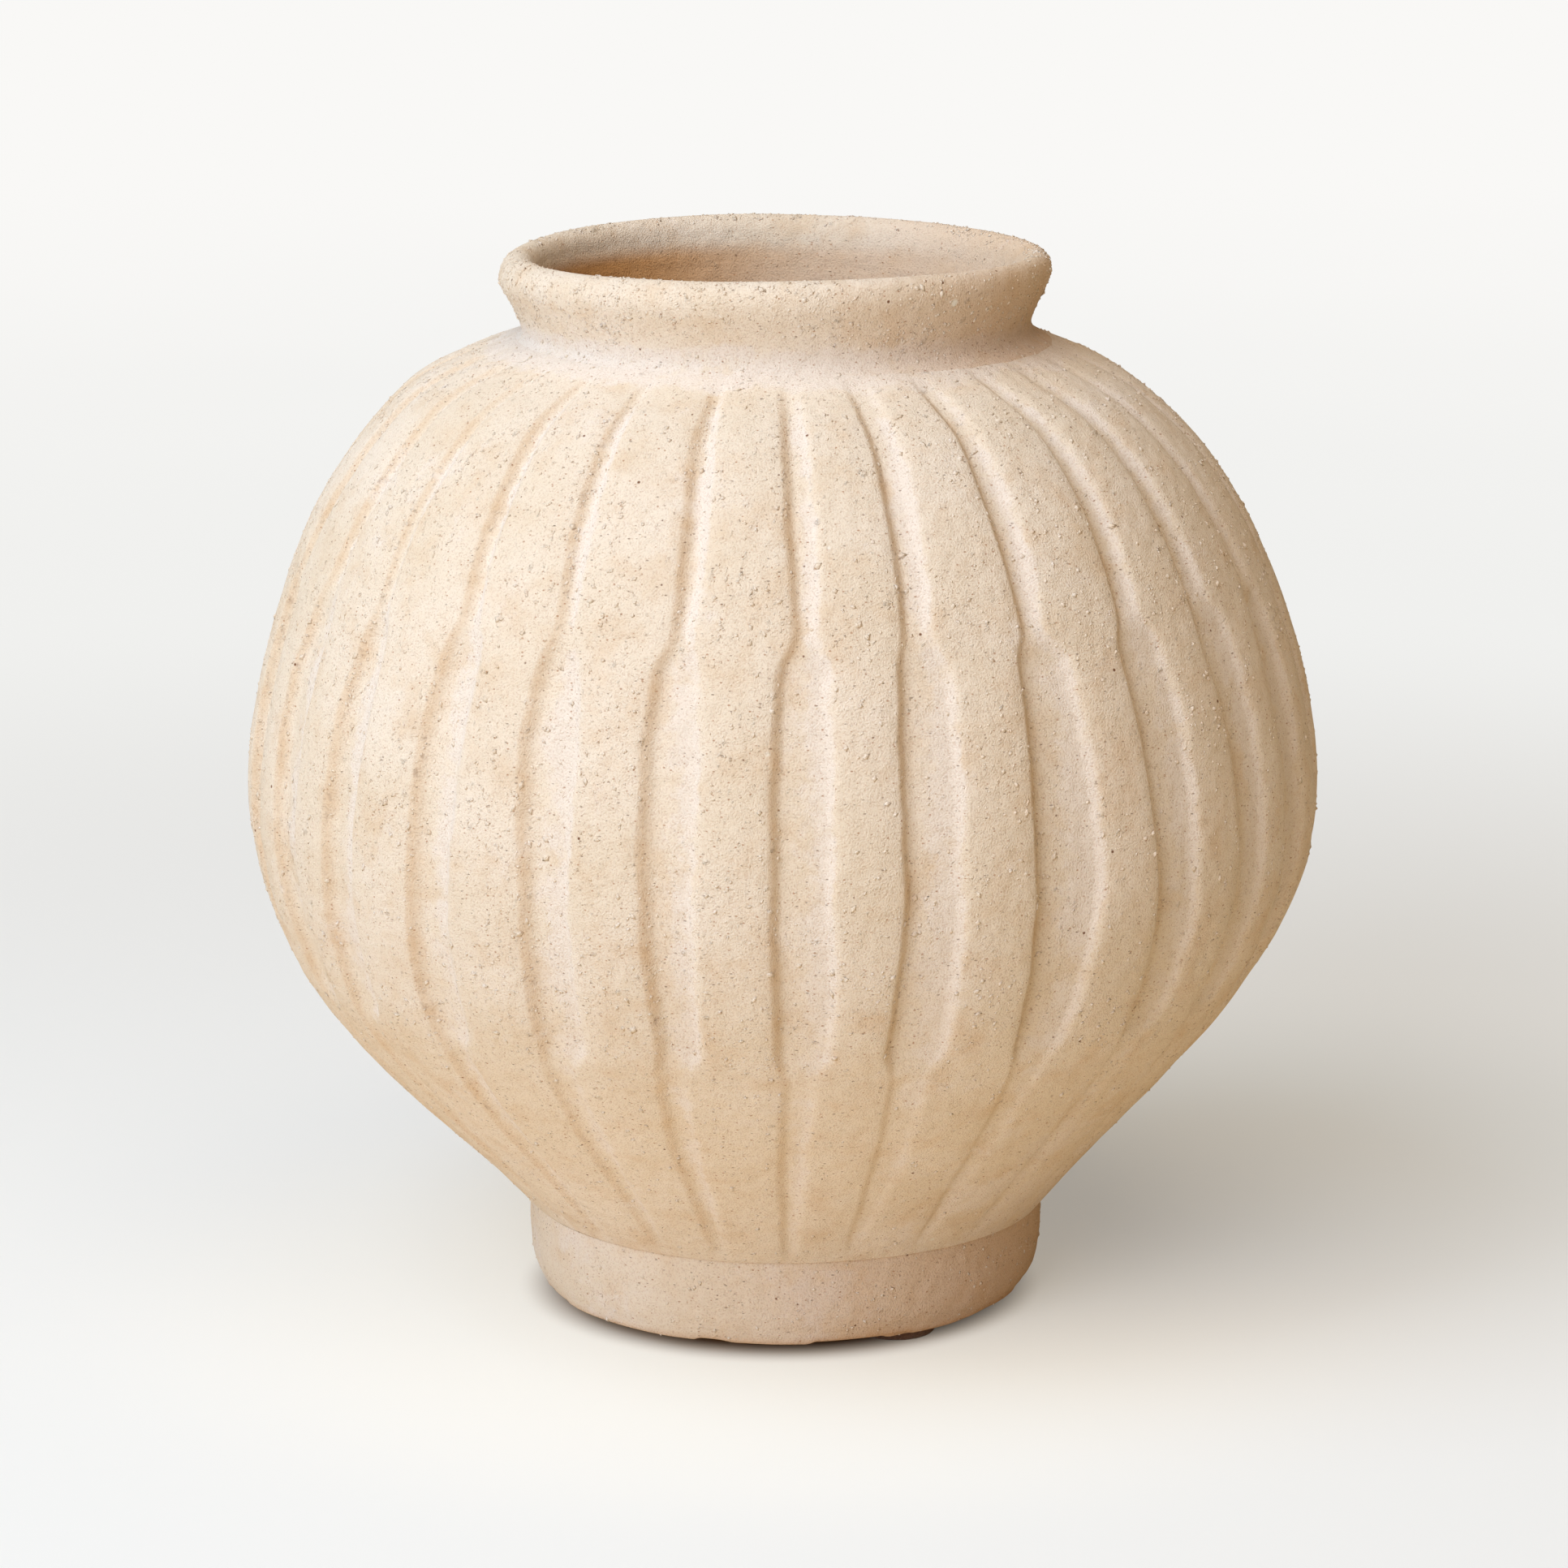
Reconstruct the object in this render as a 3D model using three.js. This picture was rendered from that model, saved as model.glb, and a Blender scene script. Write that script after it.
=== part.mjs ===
// Fluted terracotta vase, built from the clay sections that a potter lutes together: a collar with a
// rolled lip, a round body carved with three tiers of flutes, a plain foot ring and the floor let into it.
// Stick-on felt pads keep it off the table.
//
// Lengths are millimetres and angles are degrees. +Z is up, the front is at -Y, and the origin is on the
// table under the middle of the foot. Azimuth 0 is the front, and it grows towards +X.

import * as THREE from "three";

const { degToRad, lerp, radToDeg, smoothstep } = THREE.MathUtils;

// Felt pads under the foot
const PAD_COUNT = 3;
const PAD_RADIUS = 10;
const PAD_INSET = 6.2; // from the foot's outer wall to the pad's edge
const FIRST_PAD_AZIMUTH = 36;
const FELT_THICKNESS = 2.6;
const ADHESIVE_THICKNESS = 0.4;

// Hairline of dried slip that stays between two clay sections
const SLIP_LINE = 0.05;

// Foot ring, and the floor that sits in its rebate
const FOOT_RADIUS = 64.2;
const FOOT_HEIGHT = 22;
const FOOT_ARRIS = 3.5; // rounding of the lower outer edge
const REBATE_WALL = 7.4; // clay left outside the floor
const LEDGE_WIDTH = 4; // how far the ring reaches over the floor's edge
const FLOOR_THICKNESS = 9;
const FLOOR_CLEARANCE = 0.3;

// Body: the widest ring, the heights below and above it, and the handles that shape its two flanks
const BODY_RADIUS = 131.8;
const BODY_LOWER_HEIGHT = 105;
const BODY_UPPER_HEIGHT = 112;
const BODY_WALL = 8;
const BODY_OVERHANG = 0.6; // how far the body's lower end stands out over the foot ring
const BODY_SEAT_WIDTH = 10; // width of the ring-shaped seat on the foot ring
const FLANK_ANGLE = 49.5; // rise of the lower flank where it leaves the foot
const FLANK_HANDLE = 42;
const BELLY_HANDLE_DOWN = 44;
const BELLY_HANDLE_UP = 25;
const SHOULDER_ANGLE = 20; // fall of the shoulder where it leaves the neck
const SHOULDER_HANDLE = 57;

// Flutes: narrow gouge cuts on the shoulder and near the foot, and broad ones round the belly
const FLUTE_COUNT = 27;
const FLUTE_AZIMUTH = 3.3; // centre of the flute that lies nearest the front
const FLUTE_SIDE = 2; // run of a flute's sloping side
const FLUTE_FADE = 5; // length over which a cut runs out at the neck and the foot
const FLUTE_MARGIN = 2.5; // plain clay left beside the neck and the foot
const TIER_BLEND = 6; // length over which one tier turns into the next
const LOWER_TIER_LENGTH = 63;
const LOWER_FLUTE_WIDTH = 6;
const LOWER_FLUTE_DEPTH = 1.3;
const MIDDLE_RIDGE_WIDTH = 14.5;
const MIDDLE_FLUTE_DEPTH = 2.8;
const UPPER_TIER_LENGTH = 56;
const UPPER_FLUTE_WIDTH = 7;
const UPPER_FLUTE_DEPTH = 2.3;

// Collar
const THROAT_RADIUS = 54;
const COLLAR_WALL = 7.7;
const COLLAR_HEIGHT = 20.4;
const COLLAR_WAIST = 5.5; // height of its narrowest ring above the seat
const COLLAR_FLARE = 5.4; // how far the lip stands out past that ring
const COLLAR_FILLET = 3.9; // how far the clay spreads out below it, onto the shoulder
const LIP_ROLL = 5; // radius of the rolled lip
const LIP_UNDERCUT_ANGLE = 25; // where the outer wall meets the roll, below its widest point
const RIM_WAVE = 0.8; // unevenness of the rim's height
const RIM_WAVE_AZIMUTH = 15;
const RIM_WAVE_LOBES = 2;

// Fineness of the faceted surfaces
const ROUND_SIDES = 54; // sides of the collar, the foot ring and the floor
const PAD_SIDES = 24;
const LOWER_ROWS = 4; // rows of the body's outside along each tier of flutes
const MIDDLE_ROWS = 5;
const UPPER_ROWS = 4;
const BLEND_ROWS = 2;
const INNER_ROWS = 5; // rows of the body's inside along each flank
const HALVINGS = 40;

const FULL_TURN = 360;

// Heights and radii that neighbouring pieces share
const adhesiveBottom = FELT_THICKNESS;
const footBottom = FELT_THICKNESS + ADHESIVE_THICKNESS;
const footTop = footBottom + FOOT_HEIGHT;
const bodyBottom = footTop + SLIP_LINE;
const bodyHeight = BODY_LOWER_HEIGHT + BODY_UPPER_HEIGHT;
const bodyTop = bodyBottom + bodyHeight;
const collarBottom = bodyTop + SLIP_LINE;
const rebateRadius = FOOT_RADIUS - REBATE_WALL;
const floorRadius = rebateRadius - FLOOR_CLEARANCE;
const ledgeRadius = rebateRadius - LEDGE_WIDTH;
const bodySeatRadius = FOOT_RADIUS + BODY_OVERHANG;
const waistRadius = THROAT_RADIUS + COLLAR_WALL;
const neckRadius = waistRadius + COLLAR_FILLET;
const padCentreRadius = FOOT_RADIUS - PAD_INSET - PAD_RADIUS;

// Fired clay, buff and unglazed.
function terracotta(color) {
  return new THREE.MeshStandardMaterial({ color, roughness: 0.95, metalness: 0 });
}

function felt() {
  return new THREE.MeshStandardMaterial({ color: 0x6b4a35, roughness: 1, metalness: 0 });
}

function adhesive() {
  return new THREE.MeshStandardMaterial({ color: 0xd8d2c4, roughness: 0.45, metalness: 0 });
}

// A named mesh, with its geometry's own zero lifted to a height above the table.
function pieceAt(name, geometry, material, height) {
  const mesh = new THREE.Mesh(geometry, material);
  mesh.name = name;
  mesh.position.z = height;
  return mesh;
}

// Turns a closed outline of (radius, height) points about Z, starting at the front.
function turned(outline, sides) {
  const closed = [...outline, outline[0]];
  return new THREE.LatheGeometry(closed, sides).rotateX(Math.PI / 2);
}

// A point at an azimuth, radius and height.
function around(azimuth, radius, height) {
  const angle = degToRad(azimuth);
  return new THREE.Vector3(radius * Math.sin(angle), -radius * Math.cos(angle), height);
}

// A closed skin over a grid of points that wraps round in both directions. Rows run up the outside of the
// section and down its inside, and columns run with the azimuth.
function wrappedSkin(rows, columns, place) {
  const points = [];
  const triangles = [];
  for (let row = 0; row < rows; row += 1) {
    const nextRow = (row + 1) % rows;
    for (let column = 0; column < columns; column += 1) {
      const nextColumn = (column + 1) % columns;
      const here = row * columns + column;
      const beside = row * columns + nextColumn;
      const above = nextRow * columns + column;
      const across = nextRow * columns + nextColumn;
      points.push(place(row, column));
      triangles.push(here, beside, across);
      triangles.push(here, across, above);
    }
  }
  const geometry = new THREE.BufferGeometry().setFromPoints(points);
  geometry.setIndex(triangles);
  geometry.computeVertexNormals();
  return geometry;
}

// Evenly spaced values from one end up to, but not at, the other.
function spread(from, to, count) {
  return Array.from({ length: count }, (_, step) => lerp(from, to, step / count));
}

// The body's outer outline, in (radius, height) above its seat: two curves that meet upright at the
// widest ring.
const flankRise = degToRad(FLANK_ANGLE);
const shoulderFall = degToRad(SHOULDER_ANGLE);
const lowerFlank = new THREE.CubicBezierCurve(
  new THREE.Vector2(bodySeatRadius, 0),
  new THREE.Vector2(
    bodySeatRadius + FLANK_HANDLE * Math.cos(flankRise),
    FLANK_HANDLE * Math.sin(flankRise),
  ),
  new THREE.Vector2(BODY_RADIUS, BODY_LOWER_HEIGHT - BELLY_HANDLE_DOWN),
  new THREE.Vector2(BODY_RADIUS, BODY_LOWER_HEIGHT),
);
const upperFlank = new THREE.CubicBezierCurve(
  new THREE.Vector2(BODY_RADIUS, BODY_LOWER_HEIGHT),
  new THREE.Vector2(BODY_RADIUS, BODY_LOWER_HEIGHT + BELLY_HANDLE_UP),
  new THREE.Vector2(
    neckRadius + SHOULDER_HANDLE * Math.cos(shoulderFall),
    bodyHeight - SHOULDER_HANDLE * Math.sin(shoulderFall),
  ),
  new THREE.Vector2(neckRadius, bodyHeight),
);

// The outward normal of a flank, at a share of the way up it.
function flankNormal(flank, share) {
  const tangent = flank.getTangent(share);
  return new THREE.Vector2(tangent.y, -tangent.x);
}

// The outline's point and outward normal at a height, found by halving the curve's parameter.
function outlineAt(height) {
  const flank = height < BODY_LOWER_HEIGHT ? lowerFlank : upperFlank;
  let low = 0;
  let high = 1;
  for (let halving = 0; halving < HALVINGS; halving += 1) {
    const middle = (low + high) / 2;
    if (flank.getPoint(middle).y < height) {
      low = middle;
    } else {
      high = middle;
    }
  }
  const point = new THREE.Vector2(flank.getPoint(low).x, height);
  return { point, normal: flankNormal(flank, low) };
}

// Where the tiers of flutes begin and end, above the body's seat.
const flutesBegin = FLUTE_MARGIN;
const lowerTierTop = FLUTE_MARGIN + LOWER_TIER_LENGTH;
const upperTierBottom = bodyHeight - FLUTE_MARGIN - UPPER_TIER_LENGTH;
const flutesEnd = bodyHeight - FLUTE_MARGIN;
const halfBlend = TIER_BLEND / 2;

// Width and depth of the flutes at a height, where the body has the given radius.
function fluteAt(height, radius) {
  const middleWidth = (2 * Math.PI * radius) / FLUTE_COUNT - MIDDLE_RIDGE_WIDTH;
  const pastLower = smoothstep(height, lowerTierTop - halfBlend, lowerTierTop + halfBlend);
  const pastMiddle = smoothstep(height, upperTierBottom - halfBlend, upperTierBottom + halfBlend);
  const lowerMix = lerp(LOWER_FLUTE_WIDTH, middleWidth, pastLower);
  const lowerDepth = lerp(LOWER_FLUTE_DEPTH, MIDDLE_FLUTE_DEPTH, pastLower);
  const runIn = smoothstep(height, flutesBegin, flutesBegin + FLUTE_FADE);
  const runOut = 1 - smoothstep(height, flutesEnd - FLUTE_FADE, flutesEnd);
  return {
    width: lerp(lowerMix, UPPER_FLUTE_WIDTH, pastMiddle),
    depth: lerp(lowerDepth, UPPER_FLUTE_DEPTH, pastMiddle) * runIn * runOut,
  };
}

// Rows of the body's outside, closer together where the flutes change.
const outerHeights = [
  0,
  flutesBegin,
  ...spread(flutesBegin + FLUTE_FADE, lowerTierTop - halfBlend, LOWER_ROWS),
  ...spread(lowerTierTop - halfBlend, lowerTierTop + halfBlend, BLEND_ROWS),
  ...spread(lowerTierTop + halfBlend, upperTierBottom - halfBlend, MIDDLE_ROWS),
  ...spread(upperTierBottom - halfBlend, upperTierBottom + halfBlend, BLEND_ROWS),
  ...spread(upperTierBottom + halfBlend, flutesEnd - FLUTE_FADE, UPPER_ROWS),
  flutesEnd - FLUTE_FADE,
  flutesEnd,
  bodyHeight,
];

// The columns that serve one flute: both upper edges, both edges of its floor, and the ridge beside it.
const fluteStations = [
  { side: -1, onFloor: false },
  { side: -1, onFloor: true },
  { side: 1, onFloor: true },
  { side: 1, onFloor: false },
  { side: 0, onFloor: false },
];
const fluteMiddleColumn = 1.5;
const bodyColumns = FLUTE_COUNT * fluteStations.length;

// A point of the fluted outside, where a row holds the outline and the flute at one height.
function outerPoint({ point, normal, flute }, column) {
  const station = fluteStations[column % fluteStations.length];
  const number = Math.floor(column / fluteStations.length);
  const halfPitch = FULL_TURN / FLUTE_COUNT / 2;
  const halfWidth = flute.width / 2 - (station.onFloor ? FLUTE_SIDE : 0);
  const sideAngle = radToDeg(halfWidth / point.x);
  const offset = station.side === 0 ? halfPitch : station.side * sideAngle;
  const cut = station.onFloor ? flute.depth : 0;
  const place = point.clone().addScaledVector(normal, -cut);
  return around(FLUTE_AZIMUTH + 2 * halfPitch * number + offset, place.x, place.y);
}

// The smooth inside from the throat down to the seat, one wall's thickness in from both flanks.
function innerOutline() {
  const inset = (flank, share) =>
    flank.getPoint(share).addScaledVector(flankNormal(flank, share), -BODY_WALL);
  return [
    new THREE.Vector2(THROAT_RADIUS, bodyHeight),
    new THREE.Vector2(THROAT_RADIUS, bodyHeight - BODY_WALL / Math.cos(shoulderFall)),
    ...spread(1, 0, INNER_ROWS).map((share) => inset(upperFlank, share)),
    ...spread(1, 0, INNER_ROWS).map((share) => inset(lowerFlank, share)),
    inset(lowerFlank, 0),
    new THREE.Vector2(bodySeatRadius - BODY_SEAT_WIDTH, 0),
  ];
}

// The hollow body.
function bodyGeometry() {
  const outerRows = outerHeights.map((height) => {
    const outline = outlineAt(height);
    return { ...outline, flute: fluteAt(height, outline.point.x) };
  });
  const innerRows = innerOutline();
  return wrappedSkin(outerRows.length + innerRows.length, bodyColumns, (row, column) => {
    if (row < outerRows.length) {
      return outerPoint(outerRows[row], column);
    }
    const inner = innerRows[row - outerRows.length];
    const turn = (column - fluteMiddleColumn) / bodyColumns;
    return around(FLUTE_AZIMUTH + FULL_TURN * turn, inner.x, inner.y);
  });
}

// The collar: a fillet onto the shoulder, a flaring wall, the rolled lip, and an inside that narrows to
// the throat. The rim's height wavers a little round the mouth.
function collarGeometry() {
  const roll = new THREE.Vector2(waistRadius + COLLAR_FLARE - LIP_ROLL, COLLAR_HEIGHT - LIP_ROLL);
  const outline = new THREE.Path();
  outline.moveTo(THROAT_RADIUS, 0);
  outline.lineTo(neckRadius, 0);
  outline.quadraticCurveTo(waistRadius, COLLAR_WAIST / 3, waistRadius, COLLAR_WAIST);
  outline.absarc(roll.x, roll.y, LIP_ROLL, degToRad(-LIP_UNDERCUT_ANGLE), Math.PI, false);
  outline.quadraticCurveTo(THROAT_RADIUS, COLLAR_HEIGHT / 2, THROAT_RADIUS, 0);
  const divisions = 4;
  const points = outline.getPoints(divisions).slice(0, -1);
  const geometry = turned(points, ROUND_SIDES);
  const position = geometry.getAttribute("position");
  for (let index = 0; index < position.count; index += 1) {
    const azimuth = Math.atan2(position.getX(index), -position.getY(index));
    const share = position.getZ(index) / COLLAR_HEIGHT;
    const wave = Math.cos(RIM_WAVE_LOBES * (azimuth - degToRad(RIM_WAVE_AZIMUTH)));
    position.setZ(index, position.getZ(index) + RIM_WAVE * wave * share * share);
  }
  geometry.computeVertexNormals();
  return geometry;
}

// The foot ring, rebated from below for the floor, with a rounded lower edge.
function footRingGeometry() {
  const arris = Math.min(FOOT_ARRIS, REBATE_WALL);
  const ledgeHeight = FLOOR_THICKNESS + SLIP_LINE;
  const outline = new THREE.Path();
  outline.moveTo(rebateRadius, 0);
  outline.lineTo(FOOT_RADIUS - arris, 0);
  outline.absarc(FOOT_RADIUS - arris, arris, arris, -Math.PI / 2, 0, false);
  outline.lineTo(FOOT_RADIUS, FOOT_HEIGHT);
  outline.lineTo(ledgeRadius, FOOT_HEIGHT);
  outline.lineTo(ledgeRadius, ledgeHeight);
  outline.lineTo(rebateRadius, ledgeHeight);
  const divisions = 2;
  return turned(outline.getPoints(divisions), ROUND_SIDES);
}

// The floor, a disc that carries the ring's ledge.
function floorGeometry() {
  return disc(floorRadius, FLOOR_THICKNESS, ROUND_SIDES);
}

// A disc whose underside is its zero height.
function disc(radius, thickness, sides) {
  return new THREE.CylinderGeometry(radius, radius, thickness, sides)
    .rotateX(Math.PI / 2)
    .translate(0, 0, thickness / 2);
}

// A felt pad and the adhesive layer on top of it, at one of the places round the foot.
function padPair(number) {
  const azimuth = FIRST_PAD_AZIMUTH + (FULL_TURN / PAD_COUNT) * (number - 1);
  const pad = new THREE.Group();
  pad.position.copy(around(azimuth, padCentreRadius, 0));
  const feltDisc = disc(PAD_RADIUS, FELT_THICKNESS, PAD_SIDES);
  const adhesiveDisc = disc(PAD_RADIUS, ADHESIVE_THICKNESS, PAD_SIDES);
  pad.add(pieceAt(`felt_pad_${number}`, feltDisc, felt(), 0));
  pad.add(pieceAt(`pad_adhesive_${number}`, adhesiveDisc, adhesive(), adhesiveBottom));
  return pad;
}

const vase = new THREE.Group();
vase.add(pieceAt("collar", collarGeometry(), terracotta(0xdcc3a2), collarBottom));
vase.add(pieceAt("belly", bodyGeometry(), terracotta(0xe3ccb0), bodyBottom));
vase.add(pieceAt("foot_ring", footRingGeometry(), terracotta(0xdabf9f), footBottom));
vase.add(pieceAt("base_slab", floorGeometry(), terracotta(0xcfb08c), footBottom));
for (let number = 1; number <= PAD_COUNT; number += 1) {
  vase.add(padPair(number));
}

export default vase;
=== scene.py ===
"""A hand-built, fluted terracotta vase on felt pads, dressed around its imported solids.

The vase is made as a potter makes it: a plain foot with a floor let into it, a round belly carved with
three tiers of flutes, and a flared collar with a rolled lip. Lengths are millimetres and angles are
degrees until a mesh is written, which is in metres. +Z is up and the front is at -Y. Azimuth 0 is the
front and grows towards +X.
"""

import logging
import math
from dataclasses import dataclass, field
from enum import Enum
from functools import partial

import bmesh
import bpy
import numpy as np
from bmesh.types import BMesh, BMVert
from bpy.types import Material, Mesh, NodeSocket, NodeTree, Object
from mathutils import Euler, Matrix, Vector, noise

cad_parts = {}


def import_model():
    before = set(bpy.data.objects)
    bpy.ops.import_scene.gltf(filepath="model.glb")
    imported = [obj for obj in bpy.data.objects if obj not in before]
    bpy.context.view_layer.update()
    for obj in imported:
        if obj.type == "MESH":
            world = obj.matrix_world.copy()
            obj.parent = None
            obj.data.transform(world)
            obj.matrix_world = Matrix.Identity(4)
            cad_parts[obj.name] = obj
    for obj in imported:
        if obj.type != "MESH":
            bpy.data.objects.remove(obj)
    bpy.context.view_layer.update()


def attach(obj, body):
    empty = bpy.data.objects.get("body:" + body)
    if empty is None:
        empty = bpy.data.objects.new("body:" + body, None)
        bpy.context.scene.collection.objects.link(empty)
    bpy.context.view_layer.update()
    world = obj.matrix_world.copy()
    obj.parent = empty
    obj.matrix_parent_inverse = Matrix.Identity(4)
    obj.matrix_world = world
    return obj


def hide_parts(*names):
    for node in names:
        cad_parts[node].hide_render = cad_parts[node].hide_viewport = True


LOG = logging.getLogger("vase")
METRES = 0.001
FULL_TURN = 360.0
SECTORS = 6

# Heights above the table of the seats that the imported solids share.
PAD_TOP = 2.6
FOOT_BOTTOM = 3.0
FOOT_SEAT = 25.05
NECK_SEAT = 242.05

# How brown the clay is inside and under the pot, where no slip was wiped over it. The brown also stands for
# the shade that falls inside: partly real clay colour, partly painted shade.
UNWIPED_AND_SHADE = 0.8
# Settings of a Map Range node that rises smoothly. Its second limit may lie below the first.
SOFT = {"interpolation_type": "SMOOTHSTEP"}


class Side(Enum):
    """Where a row of a section's skin lies."""

    OUTSIDE = 0
    INSIDE = 1


def linear(code: str) -> tuple[float, float, float, float]:
    """Turns an sRGB hex colour into linear light.

    Args:
        code: Six hex digits.

    Returns:
        Red, green, blue and an alpha of one.
    """
    channels = [int(code[i : i + 2], 16) / 255 for i in (0, 2, 4)]
    light = [c / 12.92 if c <= 0.04045 else ((c + 0.055) / 1.055) ** 2.4 for c in channels]
    return (*light, 1.0)


def ease(value: np.ndarray, low: float, high: float) -> np.ndarray:
    """Rises smoothly from 0 at low to 1 at high.

    Args:
        value: The values.
        low: Where the rise starts.
        high: Where it ends.

    Returns:
        The share of the rise at each value.
    """
    share = np.clip((np.asarray(value, float) - low) / (high - low), 0.0, 1.0)
    return share * share * (3 - 2 * share)


def hump(
    azimuth: np.ndarray, height: np.ndarray, at: tuple[float, float], size: tuple[float, float]
) -> np.ndarray:
    """A soft hump of height one round a place on the wall.

    Args:
        azimuth: Azimuths of the points.
        height: Heights of the points.
        at: Azimuth and height of the hump's top.
        size: Its spread in degrees and in millimetres.

    Returns:
        The hump at each point.
    """
    turn = (azimuth - at[0] + 180.0) % FULL_TURN - 180.0
    return np.exp(-((turn / size[0]) ** 2) - ((height - at[1]) / size[1]) ** 2)


def waver(points: np.ndarray, size: float, seed: float) -> np.ndarray:
    """Unevenness between about -1 and 1 that a hand leaves in clay.

    Args:
        points: Points in millimetres, one a row.
        size: Length over which the surface rises and falls.
        seed: Shifts the pattern.

    Returns:
        One value for each point.
    """
    shift = Vector((seed, 2.3 * seed, 5.1 * seed))
    return np.array([noise.noise(Vector(p) + shift) for p in points / size])


def add_node(
    tree: NodeTree, kind: str, inputs: dict[str | int, object], output: str | int = 0, **settings: str
) -> NodeSocket | None:
    """Adds a shader node.

    Args:
        tree: The nodes of the material or of the room.
        kind: The node's type, without the word ShaderNode that each type starts with.
        inputs: A value, or the socket to link, for each input by name or number.
        output: Name or number of the output that is asked for.
        settings: The node's own settings.

    Returns:
        That output, or None from a node that has no outputs.
    """
    node = tree.nodes.new(f"ShaderNode{kind}")
    for key, value in settings.items():
        setattr(node, key, value)
    for key, value in inputs.items():
        if isinstance(value, NodeSocket):
            tree.links.new(value, node.inputs[key])
        else:
            node.inputs[key].default_value = value
    return node.outputs[output] if node.outputs else None


def weighted(tree: NodeTree, terms: list[tuple[NodeSocket, float]]) -> NodeSocket:
    """Adds up sockets, each times its weight.

    Args:
        tree: The material's nodes.
        terms: The sockets with their weights.

    Returns:
        The sum.
    """
    total = 0.0
    for socket, weight in terms:
        total = add_node(tree, "Math", {0: socket, 1: weight, 2: total}, operation="MULTIPLY_ADD")
    return total


def coated(tree: NodeTree, ground: str, coats: list[tuple[NodeSocket, str]]) -> NodeSocket:
    """Lays coats of colour over a ground.

    Args:
        tree: The material's nodes.
        ground: The colour below the coats.
        coats: How much of each coat shows, with its colour, from the lowest up.

    Returns:
        The colour that shows.
    """
    colour = linear(ground)
    for share, code in coats:
        colour = add_node(tree, "Mix", {0: share, 6: colour, 7: linear(code)}, 2, data_type="RGBA")
    return colour


def turned(profile: list[tuple[float, float]], sides: int, closed: bool = True) -> BMesh:
    """Turns a profile about the vertical axis, and numbers its rows in a layer named row.

    One sector is spun and then repeated round the axis, which is far quicker than one long spin.

    Args:
        profile: Radius and height of each point, starting at the front.
        sides: Number of steps round, a multiple of SECTORS.
        closed: Whether the last point joins the first. An open profile starts and ends on the axis.

    Returns:
        The turned mesh, in millimetres, with its faces outward.
    """
    bm = bmesh.new()
    layer = bm.verts.layers.int.new("row")
    verts = []
    for row, (radius, height) in enumerate(profile):
        vert = bm.verts.new((0.0, -radius, height))
        vert[layer] = row
        verts.append(vert)
    ends = verts[1:] + verts[:1] if closed else verts[1:]
    for first, second in zip(verts, ends):
        bm.edges.new((first, second))
    geom = bm.verts[:] + bm.edges[:]
    sector = 2 * math.pi / SECTORS
    bmesh.ops.spin(bm, geom=geom, cent=(0, 0, 0), axis=(0, 0, 1), angle=sector, steps=sides // SECTORS)
    geom = bm.verts[:] + bm.edges[:] + bm.faces[:]
    for number in range(1, SECTORS):
        copy = bmesh.ops.duplicate(bm, geom=geom)["geom"]
        moved = [item for item in copy if isinstance(item, BMVert)]
        bmesh.ops.rotate(bm, verts=moved, cent=(0, 0, 0), matrix=Matrix.Rotation(sector * number, 3, "Z"))
    bmesh.ops.remove_doubles(bm, verts=bm.verts[:], dist=1e-3)
    bmesh.ops.recalc_face_normals(bm, faces=bm.faces[:])
    return bm


def smooth_path(points: list[tuple[float, float]], count: int) -> np.ndarray:
    """Draws an even, smooth curve through points.

    Args:
        points: Radius and height of the points it passes.
        count: Number of points on the curve.

    Returns:
        Radius and height of each point of the curve.
    """
    knots = np.array([points[0], *points, points[-1]], float)
    dense = []
    for before, start, end, after in zip(knots, knots[1:], knots[2:], knots[3:]):
        for share in np.linspace(0, 1, 24, endpoint=False):
            slope_in, slope_out = (end - before) / 2, (after - start) / 2
            cube, square = share**3, share**2
            dense.append(
                (2 * cube - 3 * square + 1) * start
                + (cube - 2 * square + share) * slope_in
                + (3 * square - 2 * cube) * end
                + (cube - square) * slope_out
            )
    dense = np.array([*dense, knots[-1]])
    run = np.r_[0, np.cumsum(np.hypot(*np.diff(dense, axis=0).T))]
    even = np.linspace(0, run[-1], count)
    return np.c_[np.interp(even, run, dense[:, 0]), np.interp(even, run, dense[:, 1])]


def around(azimuth: np.ndarray, radius: np.ndarray, height: np.ndarray) -> np.ndarray:
    """Points at azimuths, radii and heights.

    Args:
        azimuth: Azimuths of the points.
        radius: Their distances from the axis.
        height: Their heights.

    Returns:
        The points, one a row.
    """
    angle = np.radians(azimuth)
    return np.c_[radius * np.sin(angle), -radius * np.cos(angle), height]


def lean(
    azimuth: np.ndarray,
    height: np.ndarray,
    at: tuple[float, ...],
    left: tuple[float, ...],
    right: tuple[float, ...],
) -> np.ndarray:
    """How far a hand-built wall stands out at the left and right of the front.

    Args:
        azimuth: Azimuths of the points.
        height: Heights of the points above the table.
        at: Heights above the table at which the next two are given.
        left: How far the wall stands out at the left.
        right: The same at the right.

    Returns:
        The distance outward for each point.
    """
    side = np.sin(np.radians(azimuth))
    out_left = np.interp(height, at, left) * np.clip(-side, 0, 1) ** 2
    return out_left + np.interp(height, at, right) * np.clip(side, 0, 1) ** 2


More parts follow.
